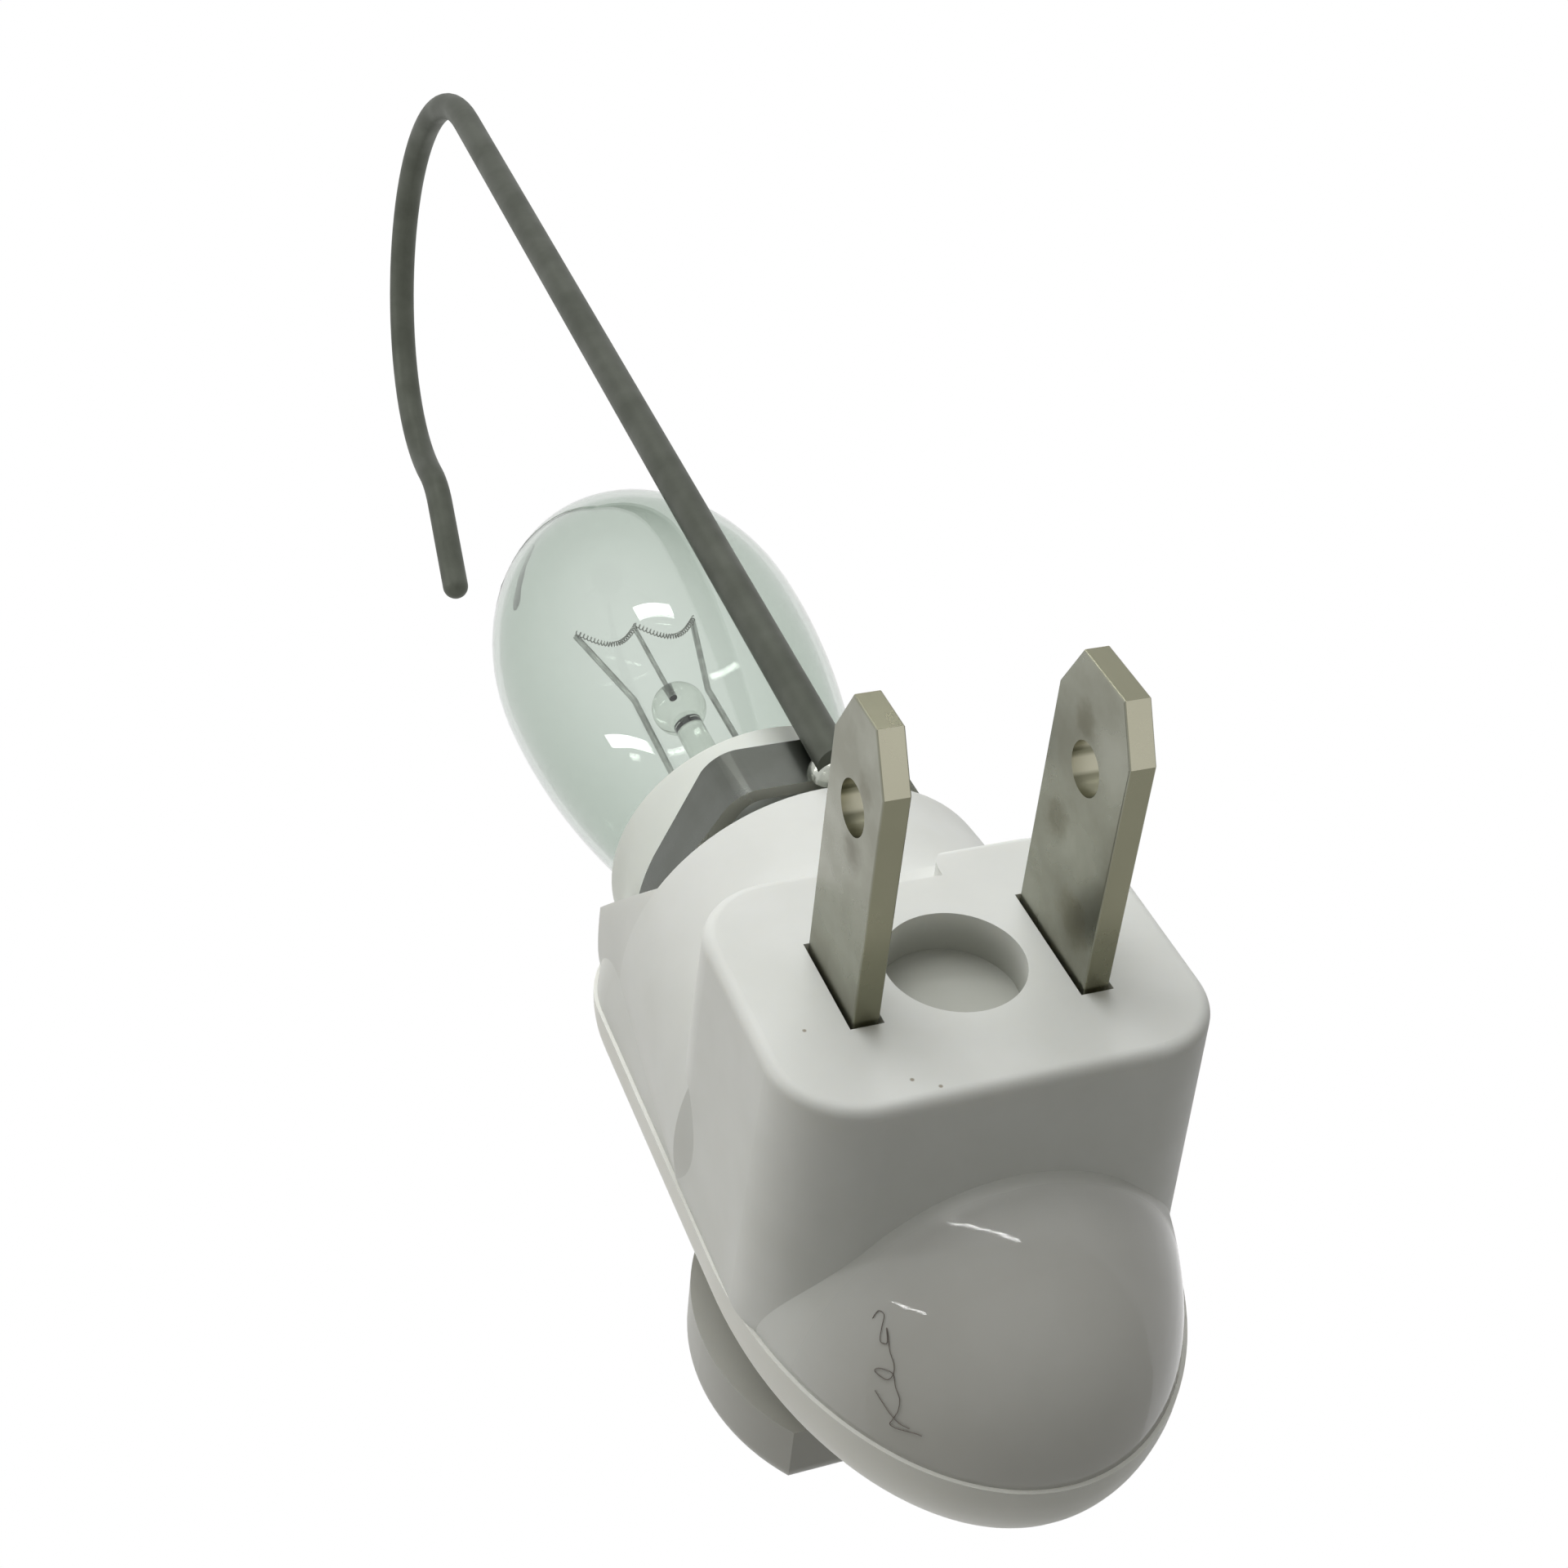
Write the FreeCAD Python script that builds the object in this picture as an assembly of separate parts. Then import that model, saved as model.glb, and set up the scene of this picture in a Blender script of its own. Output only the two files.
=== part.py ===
import FreeCAD, Part
import math
import os

from FreeCAD import Vector

# A plug-in lamp holder with a clear night-light bulb and a bent rod hook.
# Millimetres. The origin is the centre of the plug face, +Y runs along the
# blades into the wall, +Z is up along the bulb, and the front looks along -Y.

# Plug face and blades
blade_pitch = 12.7
blade_thick = 1.5
narrow_blade_wide = 6.35
wide_blade_wide = 7.95
blade_reach = 17.5
blade_chamfer_long = 3.0
blade_chamfer_deep = 1.7
blade_hole_dia = 3.0
blade_hole_from_face = 11.7
blade_shoulder = 1.1
blade_shoulder_thick = 1.0
blade_edge_round = 0.12
slot_gap = 0.2
face_wide = 24.64
face_high = 18.2
face_corner = 4.7
face_drop = 0.14
face_edge_round = 0.7
face_wall = 3.6
block_draft_deg = 2.0
recess_dia = 7.8
recess_deep = 2.6
notch_half = 2.2
notch_flare = 1.6
notch_high = 2.2
notch_deep = 1.3

# Moulded body, in two halves that meet at the seam
wall = 1.6
body_radius = 12.9
body_axis_y = -18.4
foot_centre_z = -1.5
foot_high = 19.4
shoulder_top_z = 26.0
shoulder_round = 7.0
seam_y = -17.5
cover_proud = 0.2
cover_front_y = -25.8
cover_edge_round = 8.0
lip_long = 1.6
lip_thick = 0.8
lip_gap = 0.1

# Lampholder collar round the bulb axis
lamp_axis_y = -14.2
collar_rim_radius = 12.2
collar_rim_z = 18.0
collar_low_radius = 13.3
collar_low_z = 4.5
collar_foot_radius = 11.6
collar_foot_z = -1.5
rim_flat_to_y = -7.5
rim_top_y = -15.5
rim_top_z = 25.6

# Lampholder sleeve, screw shell and centre contact
sleeve_radius = 9.8
sleeve_wall = 1.2
sleeve_bottom_z = 4.4
sleeve_floor = 1.5
sleeve_rim_z = 27.8
sleeve_gap = 0.15
screw_shell_thick = 0.4
screw_shell_gap = 0.35
screw_shell_long = 13.5
screw_shell_lip = 1.0
contact_strip_thick = 0.4
contact_strip_wide = 4.0
contact_strip_long = 9.0
contact_rivet_dia = 2.0
contact_rivet_head = 3.4

# Bulb, with an E12 candelabra base
bulb_tip_z = 8.8
bulb_base_dia = 11.8
bulb_base_long = 13.0
thread_pitch = 2.54
thread_deep = 0.55
thread_turns = 4
bulb_insulator_high = 1.9
bulb_tip_dia = 4.2
bulb_tip_high = 1.0
bulb_globe_radius = 11.1
bulb_globe_z = 48.5
bulb_crown_high = 15.8
glass_mouth_radius = 7.4
glass_wall = 0.6
glass_neck_radius = 5.35
stem_bead_radius = 1.9
stem_bead_z = 43.2
stem_press_radius = 3.4
stem_press_top_z = 32.0
stem_rod_radius = 1.0
support_dia = 0.35
lead_dia = 0.45
lead_foot_half = 2.9
lead_tip_half = 4.4
lead_bend_half = 2.7
lead_bend_z = 44.9
lead_tip_z = 53.2
filament_dia = 0.35
filament_sag = 1.9
filament_gap = 0.03

# Strap clip, hook rod and the bead that joins them
strap_thick = 0.8
strap_high = 4.0
strap_gap = 0.1
strap_seat_gap = 1.2
strap_room_gap = 0.3
tab_half = 5.2
tab_corner = 2.7
tab_back_y = -2.3
rod_dia = 2.3
rod_foot_rise = -0.2
rod_foot_x = -0.8
rod_lean_deg = 1.37
hook_radius = 17.0
hook_centre_z = 113.2
hook_sweep_deg = 186.5
tip_curl_radius = 8.0
tip_curl_deg = 32.0
tip_long = 9.0
hook_turn_deg = 6.3
bead_radius = 1.4

# Rotary switch
knob_radius = 12.4
knob_z = 0.0
knob_grip_half = 7.8
knob_long = 4.9
knob_gap = 0.3
knob_edge_round = 1.6
spindle_radius = 2.0
spindle_gap = 0.05
spindle_flat = 0.5
rotor_radius = 2.9
rotor_long = 2.6
base_half = 6.4
base_gap = 0.05
base_low = 7.9
base_thick = 3.0
bridge_half = 2.9
bridge_high = 1.6
bridge_thick = 0.5
contact_gap = 0.3
fixed_contact_thick = 0.6
fixed_contact_wide = 2.4

# Inner leads
wire_dia = 1.3
wire_bend = 1.4
wire_drop = 2.4
wire_hole_gap = 0.1
solder_gap = 0.15

# Places that follow from the sizes above
blade_x = blade_pitch / 2
face_bottom_z = -face_high / 2 - face_drop
face_top_z = face_bottom_z + face_high
cover_radius = body_radius + cover_proud
shell_back_y = -face_wall
sleeve_inner = sleeve_radius - sleeve_wall
screw_shell_inner = bulb_base_dia / 2 + screw_shell_gap
screw_shell_outer = screw_shell_inner + screw_shell_thick
sleeve_floor_z = sleeve_bottom_z + sleeve_floor
screw_shell_low_z = bulb_tip_z + bulb_tip_high
strap_low_z = collar_rim_z + strap_seat_gap
strap_top_z = strap_low_z + strap_high
strap_inner = sleeve_radius + strap_gap
strap_outer = strap_inner + strap_thick
pocket_radius = strap_outer + strap_room_gap
pocket_top_z = strap_top_z + strap_room_gap
rod_y = tab_back_y + rod_dia / 2 + 0.02
rod_foot_z = strap_low_z + rod_foot_rise
base_top_z = bulb_tip_z + bulb_tip_high + bulb_insulator_high + bulb_base_long
cover_inner_y = cover_front_y + wall
knob_back_y = cover_front_y - knob_gap
knob_front_y = knob_back_y - knob_long
rotor_back_y = cover_inner_y + base_thick + rotor_long
shank_end_y = shell_back_y - blade_shoulder_thick - 1.9
lead_start_y = shank_end_y - solder_gap
filament_y = lamp_axis_y + (lead_dia + filament_dia) / 2 + filament_gap


def save(name, shape):
    """Write one node, after a check that it is a sound solid."""
    if not shape.isValid() or shape.Volume <= 0:
        print("not sound:", name)
    shape.exportStep("parts/" + name + ".step")
    print(name, len(shape.Solids), round(shape.Volume, 2))


def block(x0, x1, y0, y1, z0, z1):
    corner = Vector(min(x0, x1), min(y0, y1), min(z0, z1))
    return Part.makeBox(abs(x1 - x0), abs(y1 - y0), abs(z1 - z0), corner)


def upright(radius, z0, z1, x=0.0, y=lamp_axis_y):
    """A cylinder along Z."""
    return Part.makeCylinder(radius, z1 - z0, Vector(x, y, z0))


def along_y(radius, y0, y1, x=0.0, z=0.0):
    """A cylinder along Y, from its front end y0 to its back end y1."""
    return Part.makeCylinder(radius, y1 - y0, Vector(x, y0, z), Vector(0, 1, 0))


def line(a, b):
    return Part.LineSegment(a, b).toShape()


def arc(a, b, c):
    return Part.Arc(a, b, c).toShape()


def turned(edges, axis_y=lamp_axis_y):
    """Turn a closed half profile, drawn as (radius, z), about the bulb axis."""
    face = Part.Face(Part.Wire(edges))
    face.translate(Vector(0, axis_y, 0))
    return face.revolve(Vector(0, axis_y, 0), Vector(0, 0, 1), 360)


def turned_points(points, axis_y=lamp_axis_y):
    corners = [Vector(radius, 0, z) for radius, z in points]
    edges = [line(a, b) for a, b in zip(corners, corners[1:] + corners[:1])]
    return turned(edges, axis_y)


def rounded_rectangle(half_wide, low, high, corner, y):
    """A closed wire in the XZ plane with four equal corner arcs."""
    diagonal = corner * (1 - math.sqrt(0.5))
    edges = []
    corners = [(1, high, 1), (-1, high, 1), (-1, low, -1), (1, low, -1)]
    arcs = []
    for index, (side, z, up) in enumerate(corners):
        x = side * half_wide
        on_side = Vector(x, y, z - up * corner)
        on_edge = Vector(x - side * corner, y, z)
        middle = Vector(x - side * diagonal, y, z - up * diagonal)
        ends = (on_side, on_edge) if index % 2 == 0 else (on_edge, on_side)
        arcs.append((ends[0], middle, ends[1]))
    for index, (start, middle, end) in enumerate(arcs):
        edges.append(arc(start, middle, end))
        edges.append(line(end, arcs[(index + 1) % 4][0]))
    return Part.Wire(edges)


def edges_near_y(solid, y):
    """The edges of a solid that lie in one plane across Y."""
    picked = []
    for edge in solid.Edges:
        box = edge.BoundBox
        if abs(box.YMin - y) < 1e-4 and abs(box.YMax - y) < 1e-4:
            picked.append(edge)
    return picked


def plug_block():
    """The drafted block that carries the plug face, as one loft."""
    deep = face_wall - seam_y - wall
    grow = deep * math.tan(math.radians(block_draft_deg))
    near = rounded_rectangle(face_wide / 2, face_bottom_z, face_top_z, face_corner, 0.0)
    far = rounded_rectangle(face_wide / 2 + grow, face_bottom_z - grow,
                            face_top_z + grow, face_corner + grow, -deep)
    solid = Part.makeLoft([far, near], True, True)
    return solid.makeFillet(face_edge_round, edges_near_y(solid, 0.0))


def body_profile(inset):
    """Half outline of the round body about its own axis, from foot to roof."""
    radius = body_radius - inset
    round_off = shoulder_round - inset
    top = shoulder_top_z - inset
    slope = math.sqrt(0.5)
    foot = Vector(0, 0, foot_centre_z - foot_high + inset)
    side_low = Vector(radius, 0, foot_centre_z)
    side_high = Vector(radius, 0, top - round_off)
    round_mid = Vector(radius - round_off * (1 - slope), 0, top - round_off * (1 - slope))
    roof = Vector(radius - round_off, 0, top)
    oval = Part.Ellipse(foot, side_low, Vector(0, 0, foot_centre_z))
    return [Part.ArcOfEllipse(oval, 0, math.pi / 2).toShape(), line(side_low, side_high),
            arc(side_high, round_mid, roof), line(roof, Vector(0, 0, top)),
            line(Vector(0, 0, top), foot)]


def body_turned(inset):
    return turned(body_profile(inset), body_axis_y)


def cover_outline(inset, y):
    """The front view of the body as a closed face: round foot, round shoulders."""
    radius = cover_radius - inset
    round_off = shoulder_round - inset
    top = shoulder_top_z - inset
    slope = math.sqrt(0.5)

    def at(x, z):
        return Vector(x, y, z)

    foot = at(0, foot_centre_z - foot_high - cover_proud + inset)
    left_low = at(-radius, foot_centre_z)
    right_low = at(radius, foot_centre_z)
    oval = Part.Ellipse(foot, right_low, at(0, foot_centre_z))
    left_high = at(-radius, top - round_off)
    right_high = at(radius, top - round_off)
    left_roof = at(-radius + round_off, top)
    right_roof = at(radius - round_off, top)
    bow = round_off * (1 - slope)
    edges = [Part.ArcOfEllipse(oval, -math.pi / 2, math.pi / 2).toShape(),
             line(right_low, right_high),
             arc(right_high, at(radius - bow, top - bow), right_roof),
             line(right_roof, left_roof),
             arc(left_roof, at(-radius + bow, top - bow), left_high),
             line(left_high, left_low)]
    return Part.Face(Part.Wire(edges))


def collar():
    """The drafted collar behind the bulb base, cut to the rim that seats the strap."""
    points = [(0, collar_foot_z), (collar_foot_radius, collar_foot_z),
              (collar_low_radius, collar_low_z), (collar_rim_radius, collar_rim_z),
              (collar_rim_radius, shoulder_top_z), (0, shoulder_top_z)]
    outline = cover_outline(0, cover_front_y).extrude(Vector(0, -cover_front_y, 0))
    shoulders = block(-collar_low_radius - 1, collar_low_radius + 1, cover_front_y, 0,
                      shoulder_top_z - shoulder_round, shoulder_top_z).cut(outline)
    return turned_points(points).cut(shoulders)


def strap_room():
    """The space over the collar rim: level at the back, rising to the roof."""
    back = 2.0
    top = shoulder_top_z + 1.0
    wide = 2 * collar_low_radius
    corners = [Vector(-wide / 2, back, collar_rim_z),
               Vector(-wide / 2, rim_flat_to_y, collar_rim_z),
               Vector(-wide / 2, rim_top_y, rim_top_z),
               Vector(-wide / 2, rim_top_y, top), Vector(-wide / 2, back, top)]
    wire = Part.Wire([line(a, b) for a, b in zip(corners, corners[1:] + corners[:1])])
    return Part.Face(wire).extrude(Vector(wide, 0, 0))


def lamp_bore():
    """Room for the sleeve and, over the collar rim, for the strap round it."""
    bore = upright(sleeve_radius + sleeve_gap, sleeve_bottom_z - 0.3, shoulder_top_z + 2)
    pocket = upright(pocket_radius, collar_rim_z, pocket_top_z)
    strap = strap_ring(strap_thick + strap_room_gap, tab_corner)
    return bore.fuse([pocket, strap])


def blade_slots():
    """The two openings in the plug face, a little larger than the blades."""
    slots = []
    for side, wide in ((1, narrow_blade_wide), (-1, wide_blade_wide)):
        half_thick = blade_thick / 2 + slot_gap
        half_wide = wide / 2 + slot_gap
        x = side * blade_x
        slots.append(block(x - half_thick, x + half_thick, -face_wall - 1, 1,
                           -half_wide, half_wide))
    return slots[0].fuse(slots[1])


def face_notch():
    """The flared notch in the top edge of the plug face."""
    floor = face_top_z - notch_high
    top = face_top_z + 1.0
    flare = notch_half + notch_flare
    y = -notch_deep
    edges = [line(Vector(-flare, y, top), Vector(-flare, y, face_top_z)),
             arc(Vector(-flare, y, face_top_z),
                 Vector(-notch_half - notch_flare * 0.3, y, face_top_z - notch_flare * 0.3),
                 Vector(-notch_half, y, face_top_z - notch_flare)),
             line(Vector(-notch_half, y, face_top_z - notch_flare), Vector(-notch_half, y, floor)),
             line(Vector(-notch_half, y, floor), Vector(notch_half, y, floor)),
             line(Vector(notch_half, y, floor), Vector(notch_half, y, face_top_z - notch_flare)),
             arc(Vector(notch_half, y, face_top_z - notch_flare),
                 Vector(notch_half + notch_flare * 0.3, y, face_top_z - notch_flare * 0.3),
                 Vector(flare, y, face_top_z)),
             line(Vector(flare, y, face_top_z), Vector(flare, y, top)),
             line(Vector(flare, y, top), Vector(-flare, y, top))]
    return Part.Face(Part.Wire(edges)).extrude(Vector(0, notch_deep + 1, 0))


def rear_shell():
    """The deep rear half: plug block, collar and domed foot in one moulding."""
    outer = body_turned(0).fuse([plug_block(), collar()])
    outer = outer.cut(strap_room())
    outer = outer.common(block(-30, 30, seam_y, 5, -40, 60))
    room = body_turned(wall)
    hollow_half = face_wide / 2 - wall - 0.2
    room = room.fuse(block(-hollow_half, hollow_half, body_axis_y, shell_back_y,
                           face_bottom_z + wall, face_top_z - wall))
    room = room.common(block(-30, 30, -40, shell_back_y, -40, pocket_top_z - 1.5))
    shell = outer.cut(room).cut(lamp_bore())
    shell = shell.cut(blade_slots())
    shell = shell.cut(along_y(recess_dia / 2, -recess_deep, 1))
    return shell.cut(face_notch()).removeSplitter()


def cover_room(gap):
    """The hollow of the front cover, less a gap all round."""
    near = cover_inner_y + gap
    room = cover_outline(wall + gap, near).extrude(Vector(0, seam_y - cover_front_y, 0))
    return room.makeFillet(cover_edge_round - wall - gap, edges_near_y(room, near))


def front_cover():
    """The shallow front half, with a lip that goes inside the rear shell."""
    deep = seam_y - cover_front_y
    outer = cover_outline(0, cover_front_y).extrude(Vector(0, deep, 0))
    outer = outer.makeFillet(cover_edge_round, edges_near_y(outer, cover_front_y))
    cover = outer.cut(cover_room(0))
    lip_inset = cover_proud + wall + lip_gap
    lip = cover_outline(lip_inset, seam_y - wall).extrude(Vector(0, wall + lip_long, 0))
    lip = lip.cut(cover_outline(lip_inset + lip_thick, seam_y - 2 * wall).extrude(
        Vector(0, 4 * wall, 0)))
    lip = lip.common(block(-30, 30, -40, 5, -40, collar_foot_z - 1))
    lip = lip.common(body_turned(wall + lip_gap))
    bridge = cover_outline(wall - 0.1, seam_y - wall).extrude(Vector(0, wall - 0.4, 0))
    bridge = bridge.cut(cover_outline(lip_inset + lip_thick, seam_y - 2 * wall).extrude(
        Vector(0, 4 * wall, 0)))
    bridge = bridge.common(block(-30, 30, -40, 5, -40, collar_foot_z - 1))
    cover = cover.fuse([lip, bridge])
    cover = cover.cut(lamp_bore())
    cover = cover.cut(along_y(spindle_radius + spindle_gap, cover_front_y - 1,
                              cover_inner_y + 1, z=knob_z))
    return cover.removeSplitter()


def blade_outline_edges(blade, x):
    """The outline edges of a blade's two broad faces, in front of the plug face."""
    picked = []
    for edge in blade.Edges:
        box = edge.BoundBox
        flat = box.XLength < 1e-4 and min(abs(box.XMin - x), abs(box.XMax - x - blade_thick)) < 1e-4
        if flat and box.YMax > blade_reach - blade_chamfer_long - 1e-4:
            picked.append(edge)
    return picked


def plug_blade(side, wide):
    """A blade with a chamfered tip, a round hole, and shoulders behind the face."""
    half = wide / 2
    x = side * blade_x - blade_thick / 2
    tip_start = blade_reach - blade_chamfer_long
    tip_half = half - blade_chamfer_deep
    shoulder = half + blade_shoulder
    back = shell_back_y - blade_shoulder_thick
    points = [(-half, tip_start), (-tip_half, blade_reach), (tip_half, blade_reach),
              (half, tip_start), (half, shell_back_y), (shoulder, shell_back_y),
              (shoulder, back), (half - 1, back), (half - 1, shank_end_y),
              (1 - half, shank_end_y), (1 - half, back), (-shoulder, back),
              (-shoulder, shell_back_y), (-half, shell_back_y)]
    corners = [Vector(x, y, z) for z, y in points]
    wire = Part.Wire([line(a, b) for a, b in zip(corners, corners[1:] + corners[:1])])
    blade = Part.Face(wire).extrude(Vector(blade_thick, 0, 0))
    hole = Part.makeCylinder(blade_hole_dia / 2, 2 * blade_thick,
                             Vector(x - blade_thick / 2, blade_hole_from_face, 0),
                             Vector(1, 0, 0))
    blade = blade.makeFillet(blade_edge_round, blade_outline_edges(blade, x))
    return blade.cut(hole)


def blade_retainer():
    """An insulating plate that holds both blade shoulders against the face."""
    front = shell_back_y - blade_shoulder_thick
    back = front - 1.5
    half_wide = face_wide / 2 - wall - 0.4
    low = face_bottom_z + wall + 0.2
    high = min(face_top_z - wall - 0.2, sleeve_bottom_z + 2.0)
    plate = block(-half_wide, half_wide, back, front, low, high)
    for side, wide in ((1, narrow_blade_wide), (-1, wide_blade_wide)):
        half_thick = blade_thick / 2 + 0.05
        half = wide / 2 - 1 + 0.05
        x = side * blade_x
        plate = plate.cut(block(x - half_thick, x + half_thick, back - 1, front + 1, -half, half))
    for side in (1, -1):
        post = block(side * half_wide, side * (half_wide - 1.6), front, shell_back_y, low, high)
        plate = plate.fuse(post)
    return plate.cut(lamp_bore()).removeSplitter()


def socket_sleeve():
    """The white lampholder tube, with a floor for the centre contact."""
    flare = sleeve_inner + 0.2
    seat = screw_shell_outer + 0.05
    points = [(0, sleeve_bottom_z), (sleeve_radius, sleeve_bottom_z),
              (sleeve_radius, sleeve_rim_z - 0.4), (sleeve_radius - 0.4, sleeve_rim_z),
              (flare, sleeve_rim_z), (sleeve_inner, sleeve_rim_z - 3),
              (seat, sleeve_rim_z - 6.5), (seat, sleeve_floor_z), (0, sleeve_floor_z)]
    sleeve = turned_points(points)
    rivet_hole = upright(contact_rivet_dia / 2 + 0.02, sleeve_bottom_z - 1, sleeve_floor_z + 1)
    wire_hole = upright(wire_dia / 2 + wire_hole_gap, sleeve_bottom_z - 1, sleeve_floor_z + 1,
                        x=-neutral_rise_x())
    return sleeve.cut([rivet_hole, wire_hole])


def neutral_rise_x():
    """How far from the axis the neutral lead comes up under the screw shell."""
    return screw_shell_outer - wire_dia / 2 - wire_hole_gap - 0.1


def screw_shell():
    """The thin threaded shell that the bulb base screws into."""
    top = screw_shell_low_z + screw_shell_long
    thread = thread_deep / 2
    inner = []
    outer = []
    steps = thread_turns * 2
    for step in range(steps + 1):
        z = screw_shell_low_z + screw_shell_lip + step * thread_pitch / 2
        shift = -thread if step % 2 else 0.0
        inner.append((screw_shell_inner + shift, z))
        outer.append((screw_shell_outer + shift, z))
    points = [(screw_shell_inner, screw_shell_low_z), (screw_shell_outer, screw_shell_low_z)]
    points += outer + [(screw_shell_outer, top), (screw_shell_inner, top)] + inner[::-1]
    return turned_points(points)


def centre_contact():
    """A brass strip on the sleeve floor, folded back under the bulb's tip."""
    half = contact_strip_wide / 2
    front = lamp_axis_y - contact_strip_long / 2
    back = lamp_axis_y + contact_strip_long / 2
    low = sleeve_floor_z
    top = bulb_tip_z - 0.05
    thick = contact_strip_thick
    outline = [(front, low), (back, low), (back, top), (lamp_axis_y - half, top),
               (lamp_axis_y - half, top - thick), (back - thick, top - thick),
               (back - thick, low + thick), (front, low + thick)]
    corners = [Vector(-half, y, z) for y, z in outline]
    wire = Part.Wire([line(a, b) for a, b in zip(corners, corners[1:] + corners[:1])])
    strip = Part.Face(wire).extrude(Vector(contact_strip_wide, 0, 0))
    return strip.cut(upright(contact_rivet_dia / 2 + 0.02, low - 1, low + thick + 0.2))


def contact_rivet():
    """The rivet that fixes the strip through the sleeve floor."""
    head = 0.6
    top = sleeve_floor_z + contact_strip_thick
    shank = upright(contact_rivet_dia / 2, sleeve_bottom_z - head, top + 0.1)
    upper = upright(contact_rivet_head / 2, top, top + head)
    lower = upright(contact_rivet_head / 2, sleeve_bottom_z - head, sleeve_bottom_z)
    return shank.fuse([upper, lower]).removeSplitter()


def bulb_base():
    """The bulb's threaded metal shell, as rolled thread rounds."""
    low = bulb_tip_z + bulb_tip_high + bulb_insulator_high
    outer = bulb_base_dia / 2
    root = outer - thread_deep
    points = [(root - 0.5, low), (root - 0.1, low)]
    for step in range(thread_turns * 2 + 1):
        z = low + 0.8 + step * thread_pitch / 2
        points.append((outer if step % 2 else root, z))
    points += [(outer - 0.1, base_top_z - 1.2), (outer - 0.1, base_top_z),
               (outer - 0.5, base_top_z)]
    inner = root - 0.45
    points += [(outer - 0.5, base_top_z - 1.2), (inner, base_top_z - 1.6), (inner, low + 0.4),
               (root - 0.5, low + 0.4)]
    return turned_points(points)


def bulb_insulator():
    """The dark glass ring between the shell and the tip."""
    low = bulb_tip_z + bulb_tip_high
    top = low + bulb_insulator_high
    tip = bulb_tip_dia / 2
    outer = bulb_base_dia / 2 - thread_deep - 0.1
    return turned_points([(0, low), (tip, low), (outer, top), (0, top)])


def bulb_tip():
    """The soldered centre contact of the bulb."""
    radius = bulb_tip_dia / 2
    low = Vector(0, 0, bulb_tip_z)
    rim = Vector(radius, 0, bulb_tip_z + bulb_tip_high)
    middle = Vector(radius * 0.72, 0, bulb_tip_z + bulb_tip_high * 0.3)
    top = Vector(0, 0, bulb_tip_z + bulb_tip_high)
    return turned([arc(low, middle, rim), line(rim, top), line(top, low)])


def glass_profile(inset):
    """Half outline of the pear-shaped globe and its neck, inset for the inner wall."""
    radius = bulb_globe_radius - inset
    neck = glass_neck_radius - inset
    neck_z = base_top_z - 1.2
    mouth_radius = glass_mouth_radius - inset
    mouth_z = sleeve_rim_z
    rise = bulb_globe_z - mouth_z
    drop = radius - mouth_radius
    ogive = (rise * rise + drop * drop) / (2 * drop)
    half_turn = math.asin(rise / ogive) / 2
    side = Vector(radius, 0, bulb_globe_z)
    side_mid = Vector(radius - ogive * (1 - math.cos(half_turn)), 0,
                      bulb_globe_z - ogive * math.sin(half_turn))
    mouth = Vector(mouth_radius, 0, mouth_z)
    crown = Vector(0, 0, bulb_globe_z + bulb_crown_high - inset)
    shoulder = Vector(neck, 0, neck_z + 1.4)
    foot = Vector(neck, 0, neck_z)
    ellipse = Part.Ellipse(crown, side, Vector(0, 0, bulb_globe_z))
    ends = sorted((ellipse.parameter(side), ellipse.parameter(crown)))
    if ends[1] - ends[0] > math.pi:
        ends = [ends[1], ends[0] + 2 * math.pi]
    dome = ellipse.toShape(ends[0], ends[1])
    return [dome, arc(side, side_mid, mouth),
            line(mouth, shoulder), line(shoulder, foot)], foot, crown


def bulb_glass():
    """The blown envelope as one thin wall, open where the stem seals it."""
    outer, outer_foot, outer_crown = glass_profile(0)
    inner, inner_foot, inner_crown = glass_profile(glass_wall)
    edges = outer + [line(outer_foot, inner_foot)] + inner + [line(inner_crown, outer_crown)]
    return turned(Part.__sortEdges__(edges))


def bulb_stem():
    """The glass stem: a flare that seals the neck, a press, a rod and a bead."""
    foot_z = base_top_z - 1.2
    seal = glass_neck_radius - glass_wall - 0.02
    press = stem_press_radius
    rod = stem_rod_radius
    points = [(0, foot_z), (seal, foot_z), (seal, foot_z + 1.0), (press, foot_z + 3.0),
              (press, stem_press_top_z - 2.0), (rod, stem_press_top_z),
              (rod, stem_bead_z), (0, stem_bead_z)]
    bead = Part.makeSphere(stem_bead_radius, Vector(0, lamp_axis_y, stem_bead_z))
    stem = turned_points(points).fuse(bead).removeSplitter()
    return stem.cut([lead_wire(1), lead_wire(-1), support_wire()])


def swept_rod(points, dia, bends):
    """A round wire along straight runs joined by tangent arcs."""
    radius = dia / 2
    path = []
    start = points[0]
    for index in range(1, len(points) - 1):
        corner = points[index]
        to_back = (start - corner).normalize()
        to_next = (points[index + 1] - corner).normalize()
        opening = to_back.getAngle(to_next)
        reach = bends[index - 1] / math.tan(opening / 2)
        enter = corner + to_back * reach
        leave = corner + to_next * reach
        inward = (to_back + to_next).normalize()
        centre = corner + inward * (bends[index - 1] / math.sin(opening / 2))
        middle = centre - inward * bends[index - 1]
        path.append(line(start, enter))
        path.append(arc(enter, middle, leave))
        start = leave
    path.append(line(start, points[-1]))
    wire = Part.Wire(path)
    circle = Part.Circle(points[0], points[1] - points[0], radius).toShape()
    return wire.makePipeShell([Part.Wire([circle])], True, False, 2)


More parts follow.
